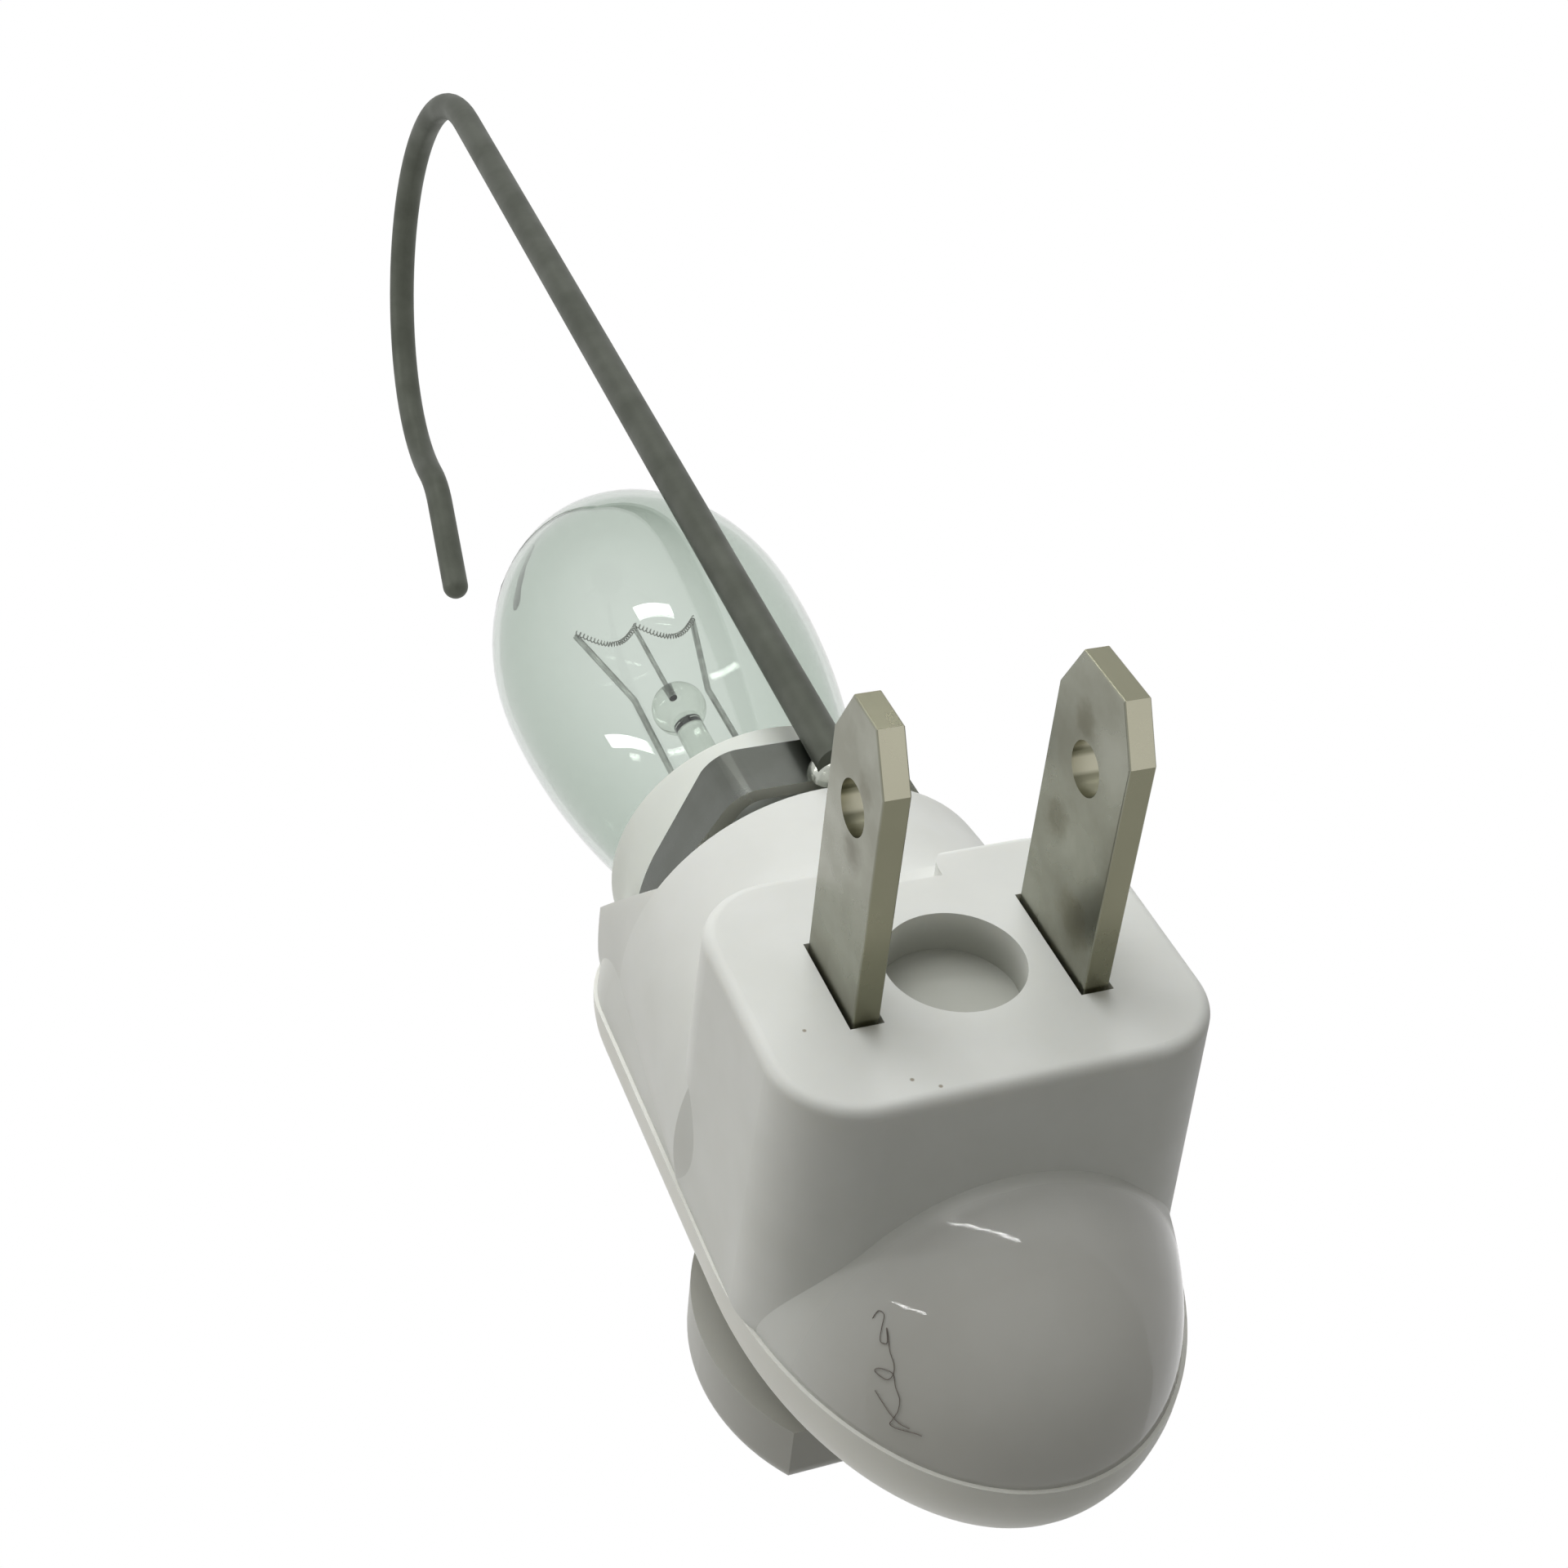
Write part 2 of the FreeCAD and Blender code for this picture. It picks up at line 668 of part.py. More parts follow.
def lead_wire(side):
    """One of the two wires that stand beside the bead and spread to the filament."""
    low = Vector(side * lead_foot_half, lamp_axis_y, base_top_z - 1.1)
    bend = Vector(side * lead_bend_half, lamp_axis_y, lead_bend_z)
    tip = Vector(side * lead_tip_half, lamp_axis_y, lead_tip_z)
    return swept_rod([low, bend, tip], lead_dia, [2.0])


def support_wire():
    """The fine wire from the bead that holds up the middle of the filament."""
    foot_z = stem_bead_z + stem_bead_radius * 0.4
    return upright(support_dia / 2, foot_z, lead_tip_z)


def filament():
    """The thin coil, hung in two shallow sags between leads and support."""
    z = lead_tip_z - filament_dia / 2
    coil = None
    for side in (1, -1):
        middle = Vector(0, filament_y, z)
        low = Vector(side * lead_tip_half / 2, filament_y, z - filament_sag)
        end = Vector(side * lead_tip_half, filament_y, z)
        edge = arc(middle, low, end)
        heading = edge.tangentAt(edge.FirstParameter)
        ring = Part.Circle(middle, heading, filament_dia / 2).toShape()
        sag = Part.Wire([edge]).makePipeShell([Part.Wire([ring])], True, False, 2)
        coil = sag if coil is None else coil.fuse(sag)
    joint = Part.makeSphere(filament_dia / 2, Vector(0, filament_y, z))
    return coil.fuse(joint).removeSplitter()


def strap_path(offset):
    """Closed path of the strap: an arc round the sleeve and a flat back tab."""
    radius = strap_inner + offset
    half = tab_half - strap_thick + offset
    back_y = tab_back_y - strap_thick + offset
    corner_from_axis = Vector(half, back_y - lamp_axis_y, 0)
    spread = math.acos(radius / corner_from_axis.Length)
    bearing = math.atan2(corner_from_axis.x, corner_from_axis.y) + spread
    touch = Vector(radius * math.sin(bearing), lamp_axis_y + radius * math.cos(bearing), 0)
    return touch, Vector(half, back_y, 0), Vector(0, lamp_axis_y - radius, 0)


def strap_ring(offset, corner):
    """One closed outline of the strap as a prism, its back corners rounded."""
    touch, tab, front = strap_path(offset)
    other_touch = Vector(-touch.x, touch.y, 0)
    other_tab = Vector(-tab.x, tab.y, 0)
    edges = [arc(touch, front, other_touch), line(other_touch, other_tab),
             line(other_tab, tab), line(tab, touch)]
    prism = Part.Face(Part.Wire(edges)).extrude(Vector(0, 0, strap_high))
    uprights = []
    for edge in prism.Edges:
        box = edge.BoundBox
        upright_edge = box.ZLength > strap_high / 2
        if upright_edge and abs(box.YMax - tab.y) < 1e-4 and box.YLength < 1e-4:
            uprights.append(edge)
    prism = prism.makeFillet(corner, uprights)
    prism.translate(Vector(0, 0, strap_low_z))
    return prism


def strap_clip():
    """The plated steel strap: a ring round the sleeve with a squared back."""
    outer = strap_ring(strap_thick, tab_corner)
    inner = strap_ring(0.0, tab_corner - strap_thick)
    return outer.cut(inner)


def hook_rod():
    """The bent rod, drawn upright and then leaned a little to one side."""
    centre = Vector(0, rod_y - hook_radius, hook_centre_z)
    foot = Vector(0, rod_y, rod_foot_z)
    top = Vector(0, rod_y, hook_centre_z)

    def on_hook(degrees):
        angle = math.radians(degrees)
        return centre + Vector(0, math.cos(angle), math.sin(angle)) * hook_radius

    end_angle = math.radians(hook_sweep_deg)
    outward = Vector(0, math.cos(end_angle), math.sin(end_angle))
    curl_centre = on_hook(hook_sweep_deg) + outward * tip_curl_radius

    def on_curl(degrees):
        angle = end_angle + math.pi - math.radians(degrees)
        return curl_centre + Vector(0, math.cos(angle), math.sin(angle)) * tip_curl_radius

    tip_angle = end_angle + math.pi - math.radians(tip_curl_deg)
    tip_heading = Vector(0, math.sin(tip_angle), -math.cos(tip_angle))
    tip_end = on_curl(tip_curl_deg) + tip_heading * tip_long
    path = Part.Wire([line(foot, top),
                      arc(top, on_hook(hook_sweep_deg / 2), on_hook(hook_sweep_deg)),
                      arc(on_hook(hook_sweep_deg), on_curl(tip_curl_deg / 2),
                          on_curl(tip_curl_deg)),
                      line(on_curl(tip_curl_deg), tip_end)])
    ring = Part.Circle(foot, Vector(0, 0, 1), rod_dia / 2).toShape()
    rod = path.makePipeShell([Part.Wire([ring])], True, False, 2)
    rod = rod.fuse(Part.makeSphere(rod_dia / 2, tip_end)).removeSplitter()
    rod.rotate(foot, Vector(0, 0, 1), hook_turn_deg)
    rod.rotate(Vector(0, rod_y, rod_foot_z), Vector(0, 1, 0), -rod_lean_deg)
    rod.translate(Vector(rod_foot_x, 0, 0))
    return rod


def rod_bead():
    """The brazed bead beside the rod foot on the strap's back tab."""
    centre = Vector(rod_foot_x, tab_back_y, rod_foot_z + bead_radius * 0.4)
    bead = Part.makeSphere(bead_radius, centre)
    bead = bead.common(block(-30, 30, tab_back_y, 5, -40, 60))
    return bead.cut(hook_rod())


def switch_knob():
    """A round knob with two flats for the fingers and a bore for its spindle."""
    disc = along_y(knob_radius, knob_front_y, knob_back_y, z=knob_z)
    grip = block(-knob_radius, knob_radius, knob_front_y - 1, knob_back_y + 1,
                 knob_z - knob_grip_half, knob_z + knob_grip_half)
    knob = disc.common(grip)
    knob = knob.makeFillet(knob_edge_round, edges_near_y(knob, knob_front_y))
    bore = along_y(spindle_radius, knob_back_y - knob_long * 0.6, knob_back_y + 1, z=knob_z)
    return knob.cut(bore.cut(spindle_flat_block()))


def spindle_flat_block():
    """What the flat takes off the spindle where the knob drives it."""
    return block(-5, 5, knob_front_y - 1, knob_back_y - 0.2,
                 knob_z + spindle_radius - spindle_flat, knob_z + 10)


def switch_spindle():
    """The spindle with its drum, which turns with the knob."""
    front = knob_back_y - knob_long * 0.6
    shaft = along_y(spindle_radius, front, rotor_back_y, z=knob_z)
    shaft = shaft.cut(spindle_flat_block())
    drum = along_y(rotor_radius, rotor_back_y - rotor_long, rotor_back_y, z=knob_z)
    slot = block(-bridge_half - 1, bridge_half + 1, rotor_back_y - bridge_thick,
                 rotor_back_y + 1, knob_z - bridge_high / 2, knob_z + bridge_high / 2)
    return shaft.fuse(drum).cut(slot).removeSplitter()


def switch_bridge():
    """The brass bar across the end of the drum."""
    bar = block(-bridge_half, bridge_half, rotor_back_y - bridge_thick, rotor_back_y,
                knob_z - bridge_high / 2, knob_z + bridge_high / 2)
    return bar.common(along_y(rotor_radius, rotor_back_y - 1, rotor_back_y + 1, z=knob_z))


def switch_base():
    """The insulating block behind the cover that carries spindle and contacts."""
    y0 = cover_inner_y + base_gap
    y1 = cover_inner_y + base_thick - contact_gap
    low = knob_z - base_low
    high = sleeve_bottom_z - 0.2
    body = block(-base_half, base_half, y0, y1, low, high)
    body = body.cut(along_y(spindle_radius + spindle_gap, y0 - 1, y1 + 1, z=knob_z))
    for side in (1, -1):
        arm_in = side * (rotor_radius + contact_gap + fixed_contact_thick + 0.05)
        arm = block(arm_in, side * base_half, y1, rotor_back_y, low, high)
        body = body.fuse(arm)
    return body.common(cover_room(base_gap)).removeSplitter()


def fixed_contact(side):
    """A brass leaf that stands beside the drum and meets the bar's end."""
    near = side * (rotor_radius + contact_gap)
    far = near + side * fixed_contact_thick
    y0 = cover_inner_y + base_thick - contact_gap
    leaf = block(near, far, y0, rotor_back_y + 1.2, knob_z - fixed_contact_wide / 2,
                 knob_z + fixed_contact_wide / 2)
    foot = block(near, side * (base_half - 1), rotor_back_y, rotor_back_y + 0.6,
                 knob_z - base_low + 1, knob_z + fixed_contact_wide / 2)
    leaf = leaf.fuse(foot)
    return leaf.removeSplitter()


def lead_level():
    """The height at which the leads leave the blades."""
    return -wire_drop


def neutral_lead():
    """The lead from the wide blade's tail to the screw shell."""
    z = lead_level()
    start = Vector(-blade_x, lead_start_y, z)
    turn = Vector(-neutral_rise_x(), lamp_axis_y, z)
    end = Vector(-neutral_rise_x(), lamp_axis_y, screw_shell_low_z)
    return swept_rod([start, turn, end], wire_dia, [wire_bend])


def live_lead():
    """The lead from the narrow blade's tail to the switch."""
    z = lead_level()
    start = Vector(blade_x, lead_start_y, z)
    turn = Vector(blade_x, rotor_back_y + 0.6 + 2 * wire_bend, z)
    drop = Vector(base_half - 2.2, rotor_back_y + 0.6 + 2 * wire_bend, z - 2 * wire_bend)
    end = Vector(base_half - 2.2, rotor_back_y + 0.6, z - 2 * wire_bend)
    return swept_rod([start, turn, drop, end], wire_dia, [wire_bend * 0.8, wire_bend * 0.8])


def switch_lead():
    """The lead from the switch to the rivet under the centre contact."""
    x = -(base_half - 2.2)
    z = lead_level() - 2 * wire_bend
    start = Vector(x, rotor_back_y + 0.6, z)
    turn = Vector(x, lamp_axis_y, z)
    rise = Vector(0, lamp_axis_y, z)
    end = Vector(0, lamp_axis_y, sleeve_bottom_z - 0.6)
    return swept_rod([start, turn, rise, end], wire_dia, [wire_bend, wire_bend])


def main():
    os.makedirs("parts", exist_ok=True)
    save("rear_shell", rear_shell())
    save("front_cover", front_cover())
    save("narrow_blade", plug_blade(1, narrow_blade_wide))
    save("wide_blade", plug_blade(-1, wide_blade_wide))
    save("blade_retainer", blade_retainer())
    save("socket_sleeve", socket_sleeve())
    save("screw_shell", screw_shell())
    save("centre_contact", centre_contact())
    save("contact_rivet", contact_rivet())
    save("bulb_glass", bulb_glass())
    save("bulb_base", bulb_base())
    save("bulb_insulator", bulb_insulator())
    save("bulb_tip", bulb_tip())
    save("bulb_stem", bulb_stem())
    save("lead_wire_left", lead_wire(1))
    save("lead_wire_right", lead_wire(-1))
    save("support_wire", support_wire())
    save("filament", filament())
    save("strap_clip", strap_clip())
    save("hook_rod", hook_rod())
    save("rod_bead", rod_bead())
    save("switch_knob", switch_knob())
    save("switch_spindle", switch_spindle())
    save("switch_bridge", switch_bridge())
    save("switch_base", switch_base())
    save("live_contact", fixed_contact(1))
    save("load_contact", fixed_contact(-1))
    save("neutral_lead", neutral_lead())
    save("live_lead", live_lead())
    save("switch_lead", switch_lead())


main()
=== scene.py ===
# %% [markdown]
# # A plug-in lamp holder, dressed in Blender
# The shape of this lamp holder was settled in CAD. This lesson loads it as a fixed
# frame, remakes the few pieces that need a finer surface than CAD gives, and then
# spends its time on finishes, light and camera. All lengths are in metres.

import math

import bmesh
import bpy
from mathutils import Matrix, Vector
from mathutils.bvhtree import BVHTree


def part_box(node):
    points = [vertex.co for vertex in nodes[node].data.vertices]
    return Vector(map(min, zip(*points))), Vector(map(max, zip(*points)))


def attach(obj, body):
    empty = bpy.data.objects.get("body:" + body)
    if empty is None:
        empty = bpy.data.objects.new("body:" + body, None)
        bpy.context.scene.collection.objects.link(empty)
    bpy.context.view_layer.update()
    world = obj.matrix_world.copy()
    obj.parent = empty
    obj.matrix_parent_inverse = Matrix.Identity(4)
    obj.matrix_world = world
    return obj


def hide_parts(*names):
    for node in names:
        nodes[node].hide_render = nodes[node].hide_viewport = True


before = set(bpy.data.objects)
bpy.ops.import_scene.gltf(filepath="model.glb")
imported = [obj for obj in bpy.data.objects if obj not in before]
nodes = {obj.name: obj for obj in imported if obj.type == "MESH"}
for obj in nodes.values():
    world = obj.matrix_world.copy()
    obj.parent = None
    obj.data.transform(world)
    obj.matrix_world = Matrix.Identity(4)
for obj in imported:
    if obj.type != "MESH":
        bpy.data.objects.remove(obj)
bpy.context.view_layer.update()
MM = 0.001

# %% [markdown]
# ## Places read from the frame
# The bulb stands on one upright axis. Its place and sizes are read from the CAD
# nodes, so the glass envelope follows the frame if one of these changes there.

# %% Read the bulb axis and the levels that matter
glass_low, glass_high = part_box("bulb_glass")
mouth_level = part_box("socket_sleeve")[1].z
axis_x = (glass_low.x + glass_high.x) / 2
axis_y = (glass_low.y + glass_high.y) / 2
globe_radius = (glass_high.x - glass_low.x) / 2
print("bulb axis (mm):", round(axis_x / MM, 2), round(axis_y / MM, 2))
print("globe radius (mm):", round(globe_radius / MM, 2))


# %% [markdown]
# ## Small helpers for modelling
# Operators act on whatever is selected, so each step starts from a clean selection.
# A finished piece keeps its object at the origin with its place in its mesh.

# %% Selection and finishing helpers
def clear_selection():
    """Leave edit mode and select nothing."""
    if bpy.context.object and bpy.context.object.mode != "OBJECT":
        bpy.ops.object.mode_set(mode="OBJECT")
    bpy.ops.object.select_all(action="DESELECT")


def only(piece):
    """Make one piece the only selected and active one."""
    clear_selection()
    piece.select_set(True)
    bpy.context.view_layer.objects.active = piece


def link_new(name, data):
    """A new object for a mesh, curve, camera or lamp, placed in the scene."""
    thing = bpy.data.objects.new(name, data)
    bpy.context.scene.collection.objects.link(thing)
    return thing


def settle(piece, name):
    """Name a piece and put its place into its mesh."""
    only(piece)
    bpy.ops.object.transform_apply(location=True, rotation=True, scale=True)
    piece.name = name
    piece.data.name = name
    return piece


def triangles(piece):
    """How many triangles a mesh has."""
    return sum(len(face.vertices) - 2 for face in piece.data.polygons)


print("modelling helpers ready")


# %% [markdown]
# ## The bulb's glass
# The real envelope is blown in one piece: a straight neck that flares in a long
# curve to the globe and closes in a tall dome. It could be spun from a profile, but
# here one ring of vertices is extruded upwards level by level and scaled to each
# station, which gives clean rings of faces and a closed crown. Solidify then gives
# the wall its real thickness.

# %% List the stations of the envelope
GLASS_WALL = 0.5 * MM
RING_COUNT = 64
MOUTH_RADIUS = 7.4 * MM
NECK_RADIUS = 5.35 * MM
NECK_HIGH = 1.4 * MM
GLOBE_LEVEL = 48.5 * MM
CURVE_STEPS = 16
DOME_STEPS = 14


def glass_profile():
    """The (radius, height) stations of the envelope, up to just under its crown."""
    rise = GLOBE_LEVEL - mouth_level
    drop = globe_radius - MOUTH_RADIUS
    ogive = (rise * rise + drop * drop) / (2 * drop)
    stations = [(NECK_RADIUS, glass_low.z), (NECK_RADIUS, glass_low.z + NECK_HIGH)]
    for step in range(CURVE_STEPS + 1):
        below = rise * (1 - step / CURVE_STEPS)
        inset = ogive - math.sqrt(ogive * ogive - below * below)
        stations.append((globe_radius - inset, GLOBE_LEVEL - below))
    dome_high = glass_high.z - GLOBE_LEVEL
    for step in range(1, DOME_STEPS):
        angle = math.pi / 2 * step / DOME_STEPS
        stations.append((globe_radius * math.cos(angle),
                         GLOBE_LEVEL + dome_high * math.sin(angle)))
    return stations


print("stations:", len(glass_profile()))


# %% Extrude the envelope and give it a wall
def lathe_up(name, stations, crown):
    """Extrude one ring through the stations, and close it at the crown."""
    clear_selection()
    radius, level = stations[0]
    bpy.ops.mesh.primitive_circle_add(vertices=RING_COUNT, radius=radius,
                                      location=(axis_x, axis_y, level))
    piece = bpy.context.object
    bpy.ops.object.mode_set(mode="EDIT")
    bpy.ops.mesh.select_all(action="SELECT")
    for next_radius, next_level in stations[1:]:
        bpy.ops.mesh.extrude_region_move(
            TRANSFORM_OT_translate={"value": (0, 0, next_level - level)})
        share = next_radius / radius
        bpy.ops.transform.resize(value=(share, share, 1),
                                 center_override=(axis_x, axis_y, next_level))
        radius, level = next_radius, next_level
    bpy.ops.mesh.extrude_region_move(TRANSFORM_OT_translate={"value": (0, 0, crown - level)})
    bpy.ops.mesh.merge(type="CENTER")
    bpy.ops.mesh.select_all(action="SELECT")
    bpy.ops.mesh.normals_make_consistent(inside=False)
    bpy.ops.object.mode_set(mode="OBJECT")
    return settle(piece, name)


globe = lathe_up("bulb_globe", glass_profile(), glass_high.z)
wall = globe.modifiers.new("wall", "SOLIDIFY")
wall.thickness = GLASS_WALL
wall.offset = -1.0
bpy.ops.object.modifier_apply(modifier=wall.name)
bpy.ops.object.shade_smooth()
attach(globe, "holder")
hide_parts("bulb_glass")
print("glass envelope triangles:", triangles(globe))

# %% [markdown]
# ## The filament
# A lamp's filament is a coil of wire too fine for CAD to draw. It hangs in two
# sags, from the lead tips at its ends and the support wire in the middle. One helix
# is wound along the whole line as a curve with a round bevel, and then made a mesh.

# %% Read the filament's line
COIL_RADIUS = 0.16 * MM
coil_low, coil_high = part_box("filament")
coil_y = (coil_low.y + coil_high.y) / 2
coil_half = (coil_high.x - coil_low.x) / 2 - COIL_RADIUS
coil_top = coil_high.z - COIL_RADIUS
coil_sag = coil_high.z - coil_low.z - 2 * COIL_RADIUS


def coil_centre(share):
    """A point of the line, from one lead tip (0) to the other (1), centred on x = 0."""
    x = coil_half * (2 * share - 1)
    from_middle = abs(x) / coil_half
    return Vector((x, coil_y, coil_top - coil_sag * math.sin(math.pi * from_middle)))


print("filament span (mm):", round(2 * coil_half / MM, 2), "sag:", round(coil_sag / MM, 2))

# %% Wind the filament
COIL_WIRE = 0.045 * MM
COIL_TURNS = 46
COIL_STEPS = 12
LOOK_AHEAD = 0.002
WIRE_RESOLUTION = 1


def coil_points():
    """The helix round the filament's line."""
    count = COIL_TURNS * COIL_STEPS
    side = Vector((0, 1, 0))
    points = []
    for step in range(count + 1):
        share = step / count
        ahead = (coil_centre(min(1.0, share + LOOK_AHEAD))
                 - coil_centre(max(0.0, share - LOOK_AHEAD))).normalized()
        over = ahead.cross(side).normalized()
        angle = 2 * math.pi * step / COIL_STEPS
        spoke = side * math.cos(angle) + over * math.sin(angle)
        points.append(coil_centre(share) + spoke * COIL_RADIUS)
    return points


def wire_from(points, name, radius):
    """A round wire through points, as a mesh with closed ends."""
    curve = bpy.data.curves.new(name, "CURVE")
    curve.dimensions = "3D"
    spline = curve.splines.new("POLY")
    spline.points.add(len(points) - 1)
    for place, point in zip(spline.points, points):
        place.co = (*point, 1.0)
    curve.bevel_depth = radius
    curve.bevel_resolution = WIRE_RESOLUTION
    curve.use_fill_caps = True
    only(link_new(name, curve))
    bpy.ops.object.convert(target="MESH")
    return settle(bpy.context.object, name)


filament = wire_from(coil_points(), "filament_coil", COIL_WIRE)
bpy.ops.object.shade_smooth()
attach(filament, "holder")
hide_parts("filament")
print("filament triangles:", triangles(filament))

# %% [markdown]
# ## The strap's taper
# The strap is a full band at its tab and narrows along both sides, where the collar
# rim rises over it. A merged copy of the CAD band is taken, and the points of its
# upper edge are eased down along the sides. The CAD band itself is left as it is.

# %% Copy and merge the strap
strap_low, strap_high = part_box("strap_clip")
MERGE_WITHIN = 0.001 * MM
strap = link_new("strap_band", nodes["strap_clip"].data.copy())
only(strap)
bpy.ops.object.mode_set(mode="EDIT")
bpy.ops.mesh.select_all(action="SELECT")
bpy.ops.mesh.remove_doubles(threshold=MERGE_WITHIN)
bpy.ops.object.mode_set(mode="OBJECT")
print("strap points after the merge:", len(strap.data.vertices))

# %% Taper the strap
TAPER_FROM = -5.0 * MM
TAPER_LONG = 8.0 * MM
SIDE_HIGH = 1.4 * MM
STRAP_SMOOTH = math.radians(30)
strap_middle = (strap_low.z + strap_high.z) / 2
strap_drop = strap_high.z - strap_low.z - SIDE_HIGH
for vertex in strap.data.vertices:
    if vertex.co.z > strap_middle and vertex.co.y < TAPER_FROM:
        share = min(1.0, (TAPER_FROM - vertex.co.y) / TAPER_LONG)
        vertex.co.z -= strap_drop * share
bpy.ops.object.shade_smooth_by_angle(angle=STRAP_SMOOTH)
settle(strap, "strap_band")
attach(strap, "holder")
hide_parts("strap_clip")
print("strap triangles:", triangles(strap))


# %% [markdown]
# ## The camera
# The photograph looks up at the plug face from behind and below. The camera's place
# and its three axes were solved from the standard blades, their holes and the
# outline of the plug face, so the edges fall close to where the photograph has them.

# %% Place the camera
def placed(x_axis, y_axis, z_axis, origin):
    """The matrix of an object from its three axes and its place."""
    return Matrix((
        (x_axis.x, y_axis.x, z_axis.x, origin.x),
        (x_axis.y, y_axis.y, z_axis.y, origin.y),
        (x_axis.z, y_axis.z, z_axis.z, origin.z),
        (0, 0, 0, 1),
    ))


PHOTO_SIDE = 1920
FOCAL_PIXELS = 3000
SENSOR = 36.0
NEAREST_SEEN = 0.01
camera_place = Vector((48.736, 84.981, -84.823)) * MM
image_right = Vector((-0.933963, 0.082616, -0.347690))
image_down = Vector((0.151372, -0.789871, -0.594298))
image_ahead = Vector((-0.323729, -0.607683, 0.725204))
camera_data = bpy.data.cameras.new("photo_camera")
camera_data.sensor_width = SENSOR
camera_data.lens = FOCAL_PIXELS * SENSOR / PHOTO_SIDE
camera_data.clip_start = NEAREST_SEEN
camera = link_new("photo_camera", camera_data)
camera.matrix_world = placed(image_right, -image_down, -image_ahead, camera_place)
bpy.context.scene.camera = camera
print("lens:", round(camera_data.lens, 2), "mm")

# %% [markdown]
# ## A stray fibre on the foot
# A fine grey fibre clings to the rounded foot in the photograph. Its line is taken
# as a few marks in the picture, and each mark is sent as a ray from the camera to
# the shell, so that the fibre lies on the surface from any side.

# %% Find picture marks on the shell
FIBRE_RADIUS = 0.024 * MM
FIBRE_LIFT = 0.03 * MM
shell_mesh = bmesh.new()
shell_mesh.from_mesh(nodes["rear_shell"].data)
shell_faces = BVHTree.FromBMesh(shell_mesh)
shell_mesh.free()


def on_shell(mark):
    """Where the ray through one picture mark meets the shell, lifted by the fibre."""
    half = PHOTO_SIDE / 2
    ray = (image_right * (mark[0] - half) + image_down * (mark[1] - half)
           + image_ahead * FOCAL_PIXELS).normalized()
    place, normal, _, _ = shell_faces.ray_cast(camera_place, ray)
    return place + normal * (FIBRE_LIFT + FIBRE_RADIUS)


print("shell faces to aim at:", len(nodes["rear_shell"].data.polygons))

# %% Lay the fibre on the shell
BETWEEN_MARKS = 6
FIBRE_MARKS = [(1069, 1614), (1076, 1605), (1083, 1610), (1080, 1626), (1078, 1641),
               (1083, 1645), (1087, 1643), (1086, 1626), (1088, 1635), (1090, 1654),
               (1095, 1670), (1094, 1683), (1086, 1689), (1072, 1679), (1076, 1675),
               (1090, 1679), (1095, 1685), (1097, 1698), (1102, 1713), (1100, 1727),
               (1093, 1738), (1090, 1743), (1097, 1748), (1110, 1752), (1122, 1755),
               (1129, 1758)]
BRANCH_MARKS = [(1072, 1702), (1080, 1715), (1090, 1730), (1101, 1742), (1114, 1749)]


def in_between(points):
    """More points between the marks, on a smooth line through them."""
    painted_foot_shade = []
    for index in range(len(points) - 1):
        before = points[max(index - 1, 0)]
        start, end = points[index], points[index + 1]
        after = points[min(index + 2, len(points) - 1)]
        for part in range(BETWEEN_MARKS):
            t = part / BETWEEN_MARKS
            painted_foot_shade.append(0.5 * ((2 * start) + (end - before) * t
                                + (2 * before - 5 * start + 4 * end - after) * t * t
                                + (3 * start - before - 3 * end + after) * t * t * t))
    return painted_foot_shade + [points[-1]]


def fibre_along(marks, name):
    """A hair of fibre along picture marks, carried by the holder."""
    hair = wire_from(in_between([on_shell(mark) for mark in marks]), name, FIBRE_RADIUS)
    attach(hair, "holder")
    return hair


fibre = fibre_along(FIBRE_MARKS, "lint_fibre")
branch = fibre_along(BRANCH_MARKS, "lint_branch")
print("fibre triangles:", triangles(fibre) + triangles(branch))


# %% [markdown]
# ## Nodes without clutter
# A material is a tree of nodes. Adding a node, setting it and linking it are the same
# few lines each time, so one helper does all three. A socket that is given becomes a
# link, and a plain number or colour becomes the socket's own value.

# %% Helpers for nodes
def add_node(tree, kind, inputs, **settings):
    """Add a node, set its properties, and feed its inputs with sockets or values."""
    node = tree.nodes.new("ShaderNode" + kind)
    for label, value in settings.items():
        setattr(node, label, value)
    for label, value in inputs.items():
        if isinstance(value, bpy.types.NodeSocket):
            tree.links.new(value, node.inputs[label])
        else:
            node.inputs[label].default_value = value
    return node


def calculate(tree, operation, *inputs):
    """The result of a Math node."""
    return add_node(tree, "Math", dict(enumerate(inputs)), operation=operation).outputs[0]


def object_place(tree):
    """The place of a surface point in the object's own coordinates."""
    return add_node(tree, "TexCoord", {}).outputs["Object"]


def mix_colour(tree, factor, first, second, blend="MIX"):
    """Two colours mixed by a factor. A colour mix has them at its sockets 6 and 7."""
    mix = add_node(tree, "Mix", {"Factor": factor, 6: first, 7: second},
                   data_type="RGBA", blend_type=blend)
    return mix.outputs[2]


print("node helpers ready")


# %% [markdown]
# ## Shared effects
# Moulded plastic, plated metal and drawn wire all need fine irregularity. Each
# effect is built once as a node group with named inputs, and each finish sets its
# own values on it.

# %% Start a node group
def new_group(name, inputs, outputs):
    """An empty shader group with its sockets, and the two nodes that hold them."""
    group = bpy.data.node_groups.new(name, "ShaderNodeTree")
    for label, kind, value in inputs:
        socket = group.interface.new_socket(label, in_out="INPUT", socket_type=kind)
        socket.default_value = value
    for label, kind in outputs:
        group.interface.new_socket(label, in_out="OUTPUT", socket_type=kind)
    entry = group.nodes.new("NodeGroupInput").outputs
    leave = group.nodes.new("NodeGroupOutput").inputs
    return group, entry, leave


